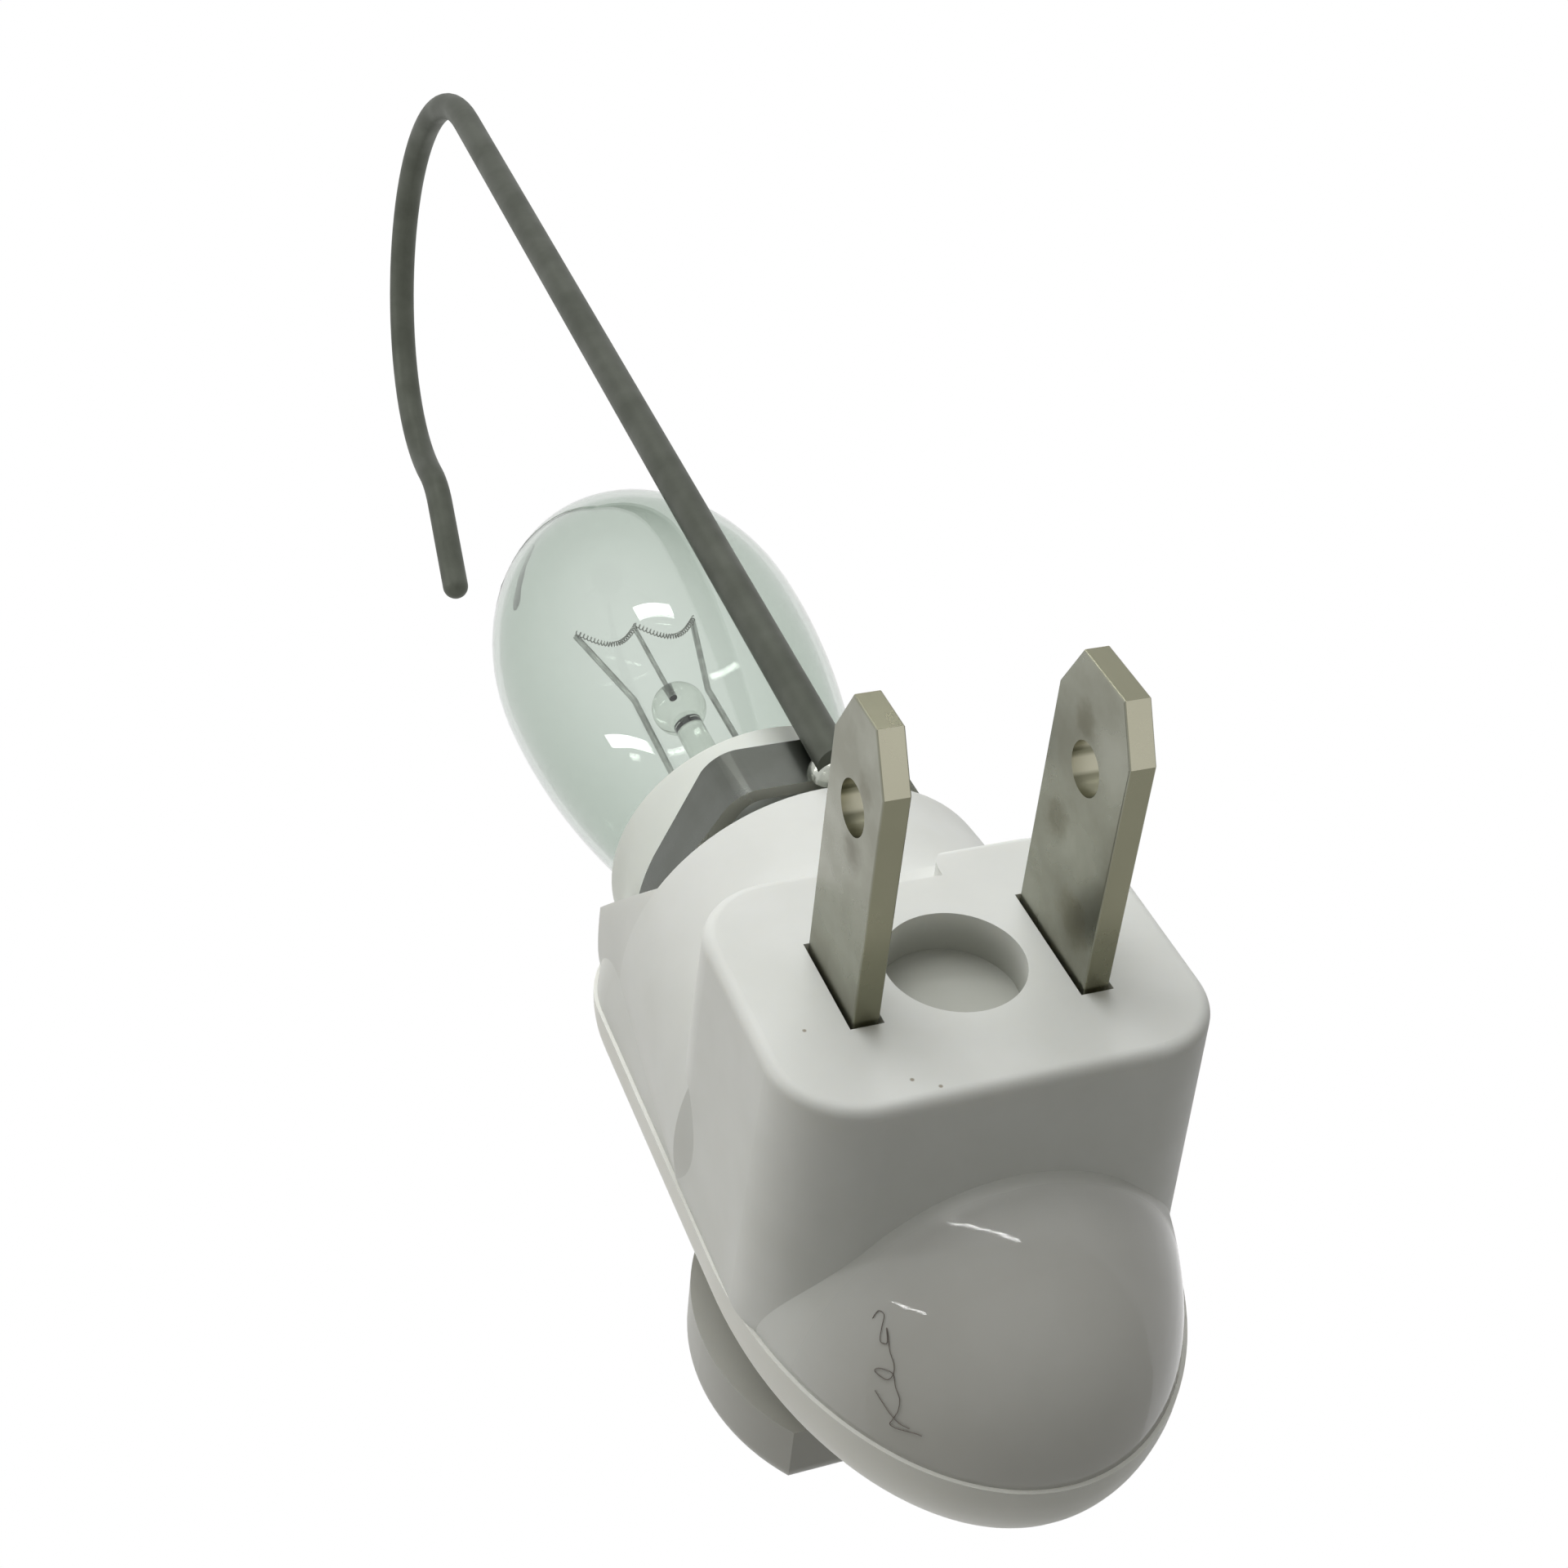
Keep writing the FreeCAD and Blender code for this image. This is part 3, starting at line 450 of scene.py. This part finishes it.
COLOUR, NUMBER, VECTOR = "NodeSocketColor", "NodeSocketFloat", "NodeSocketVector"
print("group helper ready")


# %% [markdown]
# The mottle group gives soft patches. A noise in the object's own coordinates mixes
# two colours, and the same noise mixes two values of roughness, so that a duller
# patch is also the rougher one.

# %% The mottle group
def build_mottle():
    """Soft patches: mixes two colours and puts out a roughness that follows them."""
    group, entry, leave = new_group(
        "mottle",
        [("Color A", COLOUR, (0.8, 0.8, 0.8, 1)), ("Color B", COLOUR, (0.7, 0.7, 0.7, 1)),
         ("Scale", NUMBER, 200.0), ("Low", NUMBER, 0.35), ("High", NUMBER, 0.65),
         ("Rough A", NUMBER, 0.4), ("Rough B", NUMBER, 0.5)],
        [("Color", COLOUR), ("Roughness", NUMBER)])
    noise = add_node(group, "TexNoise", {"Vector": object_place(group),
                                         "Scale": entry["Scale"], "Detail": 6.0})
    spread = add_node(group, "MapRange", {"Value": noise.outputs["Fac"],
                                          "From Min": entry["Low"],
                                          "From Max": entry["High"]}).outputs["Result"]
    colour = mix_colour(group, spread, entry["Color A"], entry["Color B"])
    rough = add_node(group, "Mix", {"Factor": spread, "A": entry["Rough A"],
                                    "B": entry["Rough B"]}).outputs["Result"]
    group.links.new(colour, leave["Color"])
    group.links.new(rough, leave["Roughness"])
    return group


mottle = build_mottle()
print("group:", mottle.name)


# %% [markdown]
# The grain group gives a fine relief. A stretch before the noise turns it into the
# lengthwise marks of drawn or rolled metal.

# %% The grain group
def build_grain():
    """A fine relief: its height goes to a Bump node in each material."""
    group, entry, leave = new_group(
        "grain", [("Scale", NUMBER, 3000.0), ("Stretch", VECTOR, (1, 1, 1))],
        [("Height", NUMBER)])
    stretched = add_node(group, "VectorMath", {0: object_place(group), 1: entry["Stretch"]},
                         operation="MULTIPLY").outputs[0]
    noise = add_node(group, "TexNoise", {"Vector": stretched, "Scale": entry["Scale"],
                                         "Detail": 3.0})
    group.links.new(noise.outputs["Fac"], leave["Height"])
    return group


grain = build_grain()
print("group:", grain.name)


# %% [markdown]
# The spot group marks one place, such as a stain. The distance from its centre is
# disturbed by a noise, so that the outline comes out ragged.

# %% The spot group
def build_spot():
    """One marked place: 1 inside, 0 past its ragged outline."""
    group, entry, leave = new_group(
        "spot",
        [("Centre", VECTOR, (0, 0, 0)), ("Radius", NUMBER, 0.001), ("Inner", NUMBER, 0.5),
         ("Ragged", NUMBER, 0.5), ("Scale", NUMBER, 900.0)],
        [("Mask", NUMBER)])
    place = object_place(group)
    away = add_node(group, "VectorMath", {0: place, 1: entry["Centre"]},
                    operation="DISTANCE").outputs["Value"]
    noise = add_node(group, "TexNoise", {"Vector": place, "Scale": entry["Scale"],
                                         "Detail": 4.0})
    around_zero = calculate(group, "SUBTRACT", noise.outputs["Fac"], 0.5)
    ragged = calculate(group, "MULTIPLY", around_zero, entry["Ragged"])
    disturbed = calculate(group, "MULTIPLY_ADD", ragged, entry["Radius"], away)
    full_within = calculate(group, "MULTIPLY", entry["Radius"], entry["Inner"])
    fall = add_node(group, "MapRange", {"Value": disturbed, "From Min": full_within,
                                        "From Max": entry["Radius"], "To Min": 1.0,
                                        "To Max": 0.0}, interpolation_type="SMOOTHSTEP")
    group.links.new(fall.outputs["Result"], leave["Mask"])
    return group


spot = build_spot()
print("group:", spot.name)


# %% [markdown]
# The facing group compares the surface with an axis. It picks out the cut edges of
# sheet metal, which lie square to its broad faces, and the faces that get a painted highlight.

# %% The facing group
def build_facing():
    """How a surface lies to an axis: Facing is 1 square to it, Edge is 1 along it."""
    group, entry, leave = new_group(
        "facing",
        [("Axis", VECTOR, (1, 0, 0)), ("Low", NUMBER, 0.3), ("High", NUMBER, 0.7)],
        [("Facing", NUMBER), ("Edge", NUMBER)])
    normal = add_node(group, "TexCoord", {}).outputs["Normal"]
    along = add_node(group, "VectorMath", {0: normal, 1: entry["Axis"]},
                     operation="DOT_PRODUCT").outputs["Value"]
    size = calculate(group, "ABSOLUTE", along)
    rise = add_node(group, "MapRange", {"Value": size, "From Min": entry["Low"],
                                        "From Max": entry["High"]}).outputs["Result"]
    group.links.new(rise, leave["Facing"])
    group.links.new(calculate(group, "SUBTRACT", 1.0, rise), leave["Edge"])
    return group


facing = build_facing()
print("group:", facing.name)


# %% [markdown]
# ## One way to start a finish
# Each finish is a Principled shader. The mottle group drives its colour and
# roughness, the grain group its bump, and the constants sit on the shader itself.

# %% Start a finish
def start_finish(name, metallic=0.0, specular=0.5):
    """A material with its shader, ready for nodes."""
    finish = bpy.data.materials.new(name)
    finish.use_nodes = True
    shader = shader_of(finish)
    shader.inputs["Metallic"].default_value = metallic
    shader.inputs["Specular IOR Level"].default_value = specular
    return finish


def shader_of(finish):
    """The Principled shader of a finish."""
    return finish.node_tree.nodes["Principled BSDF"]


def add_group(finish, group, **values):
    """Place a node group in a material, set its inputs by name, and give its outputs."""
    node = finish.node_tree.nodes.new("ShaderNodeGroup")
    node.node_tree = group
    for label, value in values.items():
        node.inputs[label.replace("_", " ")].default_value = value
    return node.outputs


def dress(finish, colour_a, colour_b, scale, rough_a, rough_b):
    """Drive colour and roughness from the mottle group."""
    patches = add_group(finish, mottle, Color_A=(*colour_a, 1), Color_B=(*colour_b, 1),
                        Scale=scale, Rough_A=rough_a, Rough_B=rough_b)
    links, inputs = finish.node_tree.links, shader_of(finish).inputs
    links.new(patches["Color"], inputs["Base Color"])
    links.new(patches["Roughness"], inputs["Roughness"])
    return patches


def relief(finish, scale, strength, distance, stretch=(1, 1, 1)):
    """Drive the normal from the grain group."""
    height = add_group(finish, grain, Scale=scale, Stretch=stretch)
    bump = add_node(finish.node_tree, "Bump", {"Strength": strength, "Distance": distance,
                                               "Height": height["Height"]})
    finish.node_tree.links.new(bump.outputs["Normal"], shader_of(finish).inputs["Normal"])


print("finish helpers ready")


# %% [markdown]
# ## Marks on a finish
# A tint is laid over whatever colour a finish has so far, wherever a mask is 1. The
# spot group gives the mask of a stain, a speck or a shaded place.

# %% Tint a finish by a mask
def tint_where(finish, mask, tint, blend="MULTIPLY"):
    """Lay a tint over the finish's colour wherever a mask is 1."""
    base = shader_of(finish).inputs["Base Color"]
    below = base.links[0].from_socket
    tinted = mix_colour(finish.node_tree, mask, below, (*tint, 1), blend)
    finish.node_tree.links.new(tinted, base)


def mark_place(finish, centre, radius, tint, inner=0.5, ragged=0.5):
    """A stain or a shaded place on a finish."""
    place = add_group(finish, spot, Centre=centre, Radius=radius, Inner=inner, Ragged=ragged)
    tint_where(finish, place["Mask"], tint)


print("marking helpers ready")


# %% [markdown]
# ## Plastics
# The shells are a milky white moulding with a satin face. A little light enters the
# material and comes out near by, which subsurface scattering gives. The rest of the
# plastic pieces are made in the same way, each with its own colours. The cover is painted
# lighter than the shell as painted light, and the knob darker as painted shade.

# %% Make the plain plastics
PATCH_SCALE = 160.0
GRAIN_SCALE = 2600.0
GRAIN_DEPTH = 0.02 * MM
MILKY_DEPTH = (1.6 * MM, 1.4 * MM, 1.1 * MM)
MILKY_WEIGHT = 0.12


def make_milky(finish):
    """Let a little light into the plastic."""
    inputs = shader_of(finish).inputs
    inputs["Subsurface Weight"].default_value = MILKY_WEIGHT
    inputs["Subsurface Radius"].default_value = MILKY_DEPTH
    inputs["Subsurface Scale"].default_value = 1.0


def white_plastic(name, colour_a, colour_b, rough_a, rough_b):
    """Milky moulded plastic with faint patches and a very fine grain."""
    finish = start_finish(name, specular=0.30)
    dress(finish, colour_a, colour_b, PATCH_SCALE, rough_a, rough_b)
    relief(finish, GRAIN_SCALE, 0.12, GRAIN_DEPTH)
    make_milky(finish)
    return finish


# Painted light: the cover's white is lighter than the shell's plastic.
cover_plastic_painted_light = white_plastic("cover_plastic_painted_light", (0.93, 0.93, 0.88), (0.90, 0.90, 0.85),
                              0.40, 0.48)
sleeve_plastic = white_plastic("sleeve_plastic", (0.80, 0.83, 0.78), (0.76, 0.79, 0.74),
                               0.35, 0.45)
# Painted shade: the knob's plastic is a darker grey.
knob_plastic_painted_shade = white_plastic("knob_plastic_painted_shade", (0.50, 0.50, 0.47), (0.47, 0.47, 0.44),
                             0.38, 0.46)
board_plastic = white_plastic("board_plastic", (0.30, 0.17, 0.09), (0.24, 0.13, 0.07),
                              0.5, 0.6)
print("plastics:", cover_plastic_painted_light.name, sleeve_plastic.name, knob_plastic_painted_shade.name)

# %% [markdown]
# ## The rear shell's plastic
# The foot was polished in the mould, so it is glossier than the block above it, and
# it is darkened with painted shade. Two masks by height give that: a short one lowers the
# roughness, and a longer one multiplies in the painted shade, darker towards the bottom.

# %% Make the rear shell's plastic
SHELL_A = (0.775, 0.785, 0.76)
SHELL_B = (0.735, 0.745, 0.715)
FOOT_TOP = -9.6 * MM
POLISH_FADE = 1.2 * MM
POLISHED_SHARE = 0.10
SHADE_BELOW = 4.5 * MM
SHADE_ABOVE = 0.5 * MM
FOOT_PAINTED_SHADE = (0.80, 0.785, 0.765)


def polished_foot_plastic(name):
    """The rear shell's plastic: satin above, polished and darkened with painted shade on the
    rounded foot.
    """
    finish = start_finish(name)
    tree = finish.node_tree
    patches = dress(finish, SHELL_A, SHELL_B, PATCH_SCALE, 0.42, 0.50)
    relief(finish, GRAIN_SCALE, 0.10, GRAIN_DEPTH)
    make_milky(finish)
    split = add_node(tree, "SeparateXYZ", {"Vector": object_place(tree)})
    height = split.outputs["Z"]
    # Painted shade: the base colour is darkened towards the bottom of the foot.
    painted_foot_shade = add_node(tree, "MapRange", {"Value": height, "From Min": FOOT_TOP - SHADE_BELOW,
                                        "From Max": FOOT_TOP + SHADE_ABOVE,
                                        "To Min": 1.0, "To Max": 0.0})
    tint_where(finish, painted_foot_shade.outputs["Result"], FOOT_PAINTED_SHADE)
    satin = add_node(tree, "MapRange", {"Value": height, "From Min": FOOT_TOP - POLISH_FADE,
                                        "From Max": FOOT_TOP, "To Min": POLISHED_SHARE,
                                        "To Max": 1.0})
    rough = calculate(tree, "MULTIPLY", patches["Roughness"], satin.outputs["Result"])
    tree.links.new(rough, shader_of(finish).inputs["Roughness"])
    return finish


shell_plastic = polished_foot_plastic("shell_plastic")
print("plastic:", shell_plastic.name)

# %% [markdown]
# The round recess between the blades gets painted shade, a little darker than the face, and
# three specks of dirt sit on the face. The specks are placed by marks in the picture, as
# the fibre was.

# %% Mark the recess and the specks
RECESS_CENTRE = (0, -2.6 * MM, 0)
RECESS_RADIUS = 4.7 * MM
RECESS_PAINTED_SHADE = (0.60, 0.60, 0.57)
SPECK_MARKS = [(1117, 1322), (1152, 1330), (985, 1262)]
SPECK_RADIUS = 0.16 * MM
SPECK_SHADE = (0.45, 0.40, 0.33)
# The recess gets painted shade; the specks are dirt.
mark_place(shell_plastic, RECESS_CENTRE, RECESS_RADIUS, RECESS_PAINTED_SHADE, inner=0.80, ragged=0.0)
for mark in SPECK_MARKS:
    mark_place(shell_plastic, tuple(on_shell(mark)), SPECK_RADIUS, SPECK_SHADE)
print("specks:", len(SPECK_MARKS))


# %% [markdown]
# ## Plated and bare metals
# The strap and the rod are dark plated steel. The rod is drawn, so its marks run
# lengthwise, and the strap's level cut edges get a painted highlight in a paler colour.
# The socket's contacts are brass, and the bulb has a nickel base, fine wires and a solder tip.

# %% Make the metals
METAL_GRAIN = 1800.0
METAL_RELIEF = 0.15
METAL_DEPTH = 0.03 * MM


def worn_metal(name, colour_a, colour_b, rough_a, rough_b, scale=260.0, stretch=(1, 1, 1)):
    """Metal whose tarnish follows soft patches."""
    finish = start_finish(name, metallic=1.0)
    dress(finish, colour_a, colour_b, scale, rough_a, rough_b)
    relief(finish, METAL_GRAIN, METAL_RELIEF, METAL_DEPTH, stretch)
    return finish


rod_steel = worn_metal("rod_steel", (0.112, 0.120, 0.100), (0.094, 0.101, 0.083), 0.50, 0.58,
                       300.0, (1, 1, 0.08))
strap_steel = worn_metal("strap_steel", (0.150, 0.158, 0.145), (0.120, 0.127, 0.112),
                         0.24, 0.34)
# Painted highlight: the strap's level edges take a paler colour.
painted_edge_highlight = add_group(strap_steel, facing, Axis=(0, 0, 1))
tint_where(strap_steel, painted_edge_highlight["Facing"], (0.42, 0.42, 0.38), "MIX")
bead_metal = worn_metal("bead_metal", (0.62, 0.64, 0.58), (0.45, 0.47, 0.42), 0.12, 0.25)
contact_brass = worn_metal("contact_brass", (0.72, 0.52, 0.22), (0.60, 0.42, 0.18), 0.25, 0.38)
base_nickel = worn_metal("base_nickel", (0.62, 0.61, 0.58), (0.50, 0.49, 0.46), 0.2, 0.32)
wire_nickel = worn_metal("wire_nickel", (0.52, 0.53, 0.51), (0.40, 0.41, 0.39), 0.35, 0.5, 900.0)
tungsten = worn_metal("tungsten", (0.50, 0.50, 0.48), (0.40, 0.40, 0.38), 0.4, 0.55, 900.0)
solder = worn_metal("solder", (0.55, 0.55, 0.54), (0.40, 0.40, 0.39), 0.35, 0.5, 700.0)
print("metals:", strap_steel.name, rod_steel.name, contact_brass.name)

# %% [markdown]
# ## The blades' metal
# The blades are nickel plate over brass, dulled by use, with faint grey stains. Their
# cut edges are browner, and the two slopes at the tip of each blade get a painted highlight.
# The facing group finds both: the edges by the blade's broad faces, and the slopes
# by their own tilt.

# %% Make the blades' metal
CUT_EDGE = (0.235, 0.232, 0.165)
SLOPE_AHEAD = 0.493
SLOPE_TILT = 0.870
SLOPE_PAINTED_HIGHLIGHT = (0.50, 0.485, 0.38)
NARROW_STAINS = [((7.1, 9.4, -0.6), 1.5, (0.62, 0.60, 0.55)),
                 ((7.1, 13.6, -1.0), 1.2, (0.70, 0.68, 0.62))]
WIDE_STAINS = [((-5.6, 3.0, -1.6), 2.2, (0.74, 0.71, 0.62)),
               ((-5.6, 7.2, 1.8), 1.8, (0.66, 0.64, 0.58)),
               ((-5.6, 14.2, 0.8), 1.4, (0.70, 0.68, 0.62))]


def blade_metal(name, stains):
    """Nickel with browner cut edges, painted highlights on the slopes at the tip and a few grey
    stains.
    """
    finish = worn_metal(name, (0.31, 0.315, 0.26), (0.24, 0.24, 0.19), 0.22, 0.36, 220.0,
                        (1, 0.15, 1))
    broad = add_group(finish, facing, Axis=(1, 0, 0))
    tint_where(finish, broad["Edge"], CUT_EDGE, "MIX")
    # Painted highlights: the slopes at the tip take a flat brighter colour.
    for tilt in (SLOPE_TILT, -SLOPE_TILT):
        slope = add_group(finish, facing, Axis=(0, SLOPE_AHEAD, tilt), Low=0.92, High=0.97)
        tint_where(finish, slope["Facing"], SLOPE_PAINTED_HIGHLIGHT, "MIX")
    for centre, radius, tint in stains:
        mark_place(finish, tuple(value * MM for value in centre), radius * MM, tint, 0.2, 1.2)
    return finish


narrow_nickel = blade_metal("narrow_nickel", NARROW_STAINS)
wide_nickel = blade_metal("wide_nickel", WIDE_STAINS)
print("blade metals:", narrow_nickel.name, wide_nickel.name)


# %% [markdown]
# ## Glass
# Clear soda glass bends the white room into a pale body with a darker greenish rim.
# A Layer Weight mixes a deeper tint in where the wall is seen edge-on, as the longer
# path through real glass does.

# %% Make the glass
GLASS_BEND = 1.45
EDGE_BLEND = 0.48


def glass_finish(name, face_tint, edge_tint):
    """Clear glass with a deeper tint at grazing angles."""
    finish = start_finish(name)
    inputs = shader_of(finish).inputs
    inputs["Roughness"].default_value = 0.0
    inputs["IOR"].default_value = GLASS_BEND
    inputs["Transmission Weight"].default_value = 1.0
    tree = finish.node_tree
    edge = add_node(tree, "LayerWeight", {"Blend": EDGE_BLEND})
    tint = mix_colour(tree, edge.outputs["Facing"], (*face_tint, 1), (*edge_tint, 1))
    tree.links.new(tint, inputs["Base Color"])
    return finish


clear_glass = glass_finish("clear_glass", (0.825, 0.862, 0.83), (0.34, 0.42, 0.35))
stem_glass = glass_finish("stem_glass", (0.86, 0.88, 0.85), (0.55, 0.60, 0.54))
print("glass:", clear_glass.name, stem_glass.name)

# %% [markdown]
# ## Jackets, glaze and fibre
# The bulb's base insulator is dark vitreous glass, the leads have a soft jacket, and
# the fibre is dull grey. All of them start from the plastic's recipe.

# %% Make the jackets, the glaze and the fibre
insulator_glaze = white_plastic("insulator_glaze", (0.035, 0.028, 0.05), (0.05, 0.04, 0.06),
                                0.12, 0.2)
jacket_white = white_plastic("jacket_white", (0.70, 0.70, 0.67), (0.64, 0.64, 0.61), 0.45, 0.55)
jacket_black = white_plastic("jacket_black", (0.03, 0.03, 0.03), (0.045, 0.045, 0.045),
                             0.45, 0.55)
jacket_red = white_plastic("jacket_red", (0.38, 0.04, 0.03), (0.32, 0.035, 0.03), 0.45, 0.55)
fibre_grey = white_plastic("fibre_grey", (0.16, 0.14, 0.13), (0.24, 0.21, 0.19), 0.8, 0.9)
print("jackets:", jacket_white.name, jacket_black.name, jacket_red.name)


# %% [markdown]
# ## Give each piece its finish
# Every piece gets one finish, and pieces of one material share it. The CAD nodes keep
# their shape, and the remade pieces are dressed in the same way.

# %% Assign the finishes
def wear(piece, finish):
    """Put one finish on a piece and nothing else."""
    piece.data.materials.clear()
    piece.data.materials.append(finish)


FINISH_OF = {
    shell_plastic: ["rear_shell"],
    cover_plastic_painted_light: ["front_cover"],
    sleeve_plastic: ["socket_sleeve"],
    knob_plastic_painted_shade: ["switch_knob", "switch_spindle"],
    board_plastic: ["switch_base", "blade_retainer"],
    narrow_nickel: ["narrow_blade"],
    wide_nickel: ["wide_blade"],
    rod_steel: ["hook_rod"],
    bead_metal: ["rod_bead"],
    contact_brass: ["screw_shell", "centre_contact", "contact_rivet", "switch_bridge",
                    "live_contact", "load_contact"],
    base_nickel: ["bulb_base"],
    insulator_glaze: ["bulb_insulator"],
    solder: ["bulb_tip"],
    stem_glass: ["bulb_stem"],
    wire_nickel: ["lead_wire_left", "lead_wire_right", "support_wire"],
    jacket_white: ["neutral_lead"],
    jacket_black: ["live_lead"],
    jacket_red: ["switch_lead"],
}
for finish, names in FINISH_OF.items():
    for name in names:
        wear(nodes[name], finish)
for piece, finish in ((globe, clear_glass), (filament, tungsten), (strap, strap_steel),
                      (fibre, fibre_grey), (branch, fibre_grey)):
    wear(piece, finish)
print("finished nodes:", sum(len(names) for names in FINISH_OF.values()))


# %% [markdown]
# ## The floor
# A lamp holder is used on a wall, so the plain floor lies well below it. A glow
# that only the camera, a reflection or clear glass sees makes the floor pale, and
# the surface under that glow still takes the shadow.

# %% Lay the floor
def when_seen(tree):
    """1 for what the camera, a reflection or clear glass sees, and 0 for lighting."""
    rays = add_node(tree, "LightPath", {}).outputs
    eye = calculate(tree, "MAXIMUM", rays["Is Camera Ray"], rays["Is Glossy Ray"])
    return calculate(tree, "MAXIMUM", eye, rays["Is Transmission Ray"])


FLOOR_SIDE = 3.0
FLOOR_LEVEL = -0.35
FLOOR_LIFT = 0.68
FLOOR_GLOW = (0.97, 0.97, 0.96, 1)
clear_selection()
bpy.ops.mesh.primitive_plane_add(size=FLOOR_SIDE, location=(0, 0, FLOOR_LEVEL))
floor = settle(bpy.context.object, "floor")
floor_finish = start_finish("floor_finish")
dress(floor_finish, (0.42, 0.42, 0.415), (0.40, 0.40, 0.395), 4.0, 0.8, 0.9)
floor_inputs = shader_of(floor_finish).inputs
floor_inputs["Emission Color"].default_value = FLOOR_GLOW
floor_tree = floor_finish.node_tree
lift = calculate(floor_tree, "MULTIPLY", when_seen(floor_tree), FLOOR_LIFT)
floor_tree.links.new(lift, floor_inputs["Emission Strength"])
wear(floor, floor_finish)
print("floor at", FLOOR_LEVEL)

# %% [markdown]
# ## The background
# The world is plain white where the camera, a reflection or clear glass sees it, and
# a weak warm fill for everything that it lights.

# %% Set the background
WORLD_LIGHT = 0.088
FILL_COLOUR = (1.0, 0.95, 0.74, 1)
WHITE = (1.0, 1.0, 1.0, 1)


def build_world():
    """White where it is seen, and a warm fill where it lights."""
    world = bpy.data.worlds.new("studio")
    bpy.context.scene.world = world
    world.use_nodes = True
    tree = world.node_tree
    background = tree.nodes["Background"].inputs
    shown = when_seen(tree)
    strength = add_node(tree, "MapRange", {"Value": shown, "To Min": WORLD_LIGHT,
                                           "To Max": 1.0})
    tree.links.new(mix_colour(tree, shown, FILL_COLOUR, WHITE), background["Color"])
    tree.links.new(strength.outputs["Result"], background["Strength"])


build_world()
print("world light:", WORLD_LIGHT)


# %% [markdown]
# ## Soft light
# A large soft lamp faces the plug, and three weaker ones keep the lower, side and
# front surfaces readable. They are hidden from reflections and from glass, so only
# their light shows.

# %% Place the soft lamps
def soft_lamp(name, place, size, power, colour):
    """A square lamp turned towards the plug."""
    data = bpy.data.lights.new(name, "AREA")
    data.size = size
    data.energy = power
    data.color = colour
    lamp = link_new(name, data)
    lamp.visible_glossy = False
    lamp.visible_transmission = False
    lamp.location = place
    lamp.rotation_euler = (PLUG_CENTRE - Vector(place)).to_track_quat("-Z", "Y").to_euler()


PLUG_CENTRE = Vector((0, -0.01, 0.01))
SOFT_LAMPS = [("key", (0.06, 0.46, 0.36), 0.60, 3.35, (0.985, 1.0, 1.0)),
              ("low", (0.10, 0.42, -0.30), 0.60, 0.05, (1.0, 0.95, 0.76)),
              ("side", (0.50, 0.05, 0.16), 0.45, 0.15, (1.0, 0.98, 0.86)),
              ("front", (0.42, -0.45, 0.14), 0.50, 0.90, (1.0, 0.99, 0.95))]
for name, place, size, power, colour in SOFT_LAMPS:
    soft_lamp(name, place, size, power, colour)
print("soft lamps:", len(SOFT_LAMPS))


# %% [markdown]
# ## Streaks of light
# Thin bright streaks lie on the polished foot and on the globe in the photograph.
# Each has a narrow lamp of its own, placed where the ray from the camera goes after
# it bounces off the surface at the streak.

# %% Place the narrow lamps
def strip_lamp(name, start, end, width, power):
    """A narrow lamp between two points, turned towards the plug."""
    start, end = Vector(start), Vector(end)
    middle = (start + end) / 2
    along = (end - start).normalized()
    ahead = (PLUG_CENTRE - middle).normalized()
    across = along.cross(ahead).normalized()
    data = bpy.data.lights.new(name, "AREA")
    data.shape = "RECTANGLE"
    data.size = (end - start).length
    data.size_y = width
    data.energy = power
    lamp = link_new(name, data)
    lamp.matrix_world = placed(along, across, along.cross(across), middle)


STRIP_LAMPS = [
    ("arc_glint", (0.1106, 0.3256, 0.0072), (-0.1492, 0.3075, 0.0313), 0.0022, 0.050),
    ("low_glint", (0.1027, 0.3276, -0.0289), (-0.0831, 0.3237, -0.0869), 0.0030, 0.040),
    ("edge_glint", (0.3082, 0.1542, -0.0820), (0.2582, 0.1978, -0.1386), 0.0030, 0.016),
    ("globe_glint", (0.1150, 0.2880, 0.2870), (-0.0050, 0.3180, 0.2770), 0.0180, 0.100),
    ("globe_twin", (-0.0980, 0.3010, 0.2810), (-0.1330, 0.2930, 0.2730), 0.0180, 0.030),
    ("globe_low_glint", (0.3650, 0.0390, 0.2070), (0.3330, 0.1870, 0.1540), 0.0180, 0.120),
]
for name, start, end, width, power in STRIP_LAMPS:
    strip_lamp(name, start, end, width, power)
bpy.context.scene.view_settings.view_transform = "Standard"
print("narrow lamps:", len(STRIP_LAMPS))
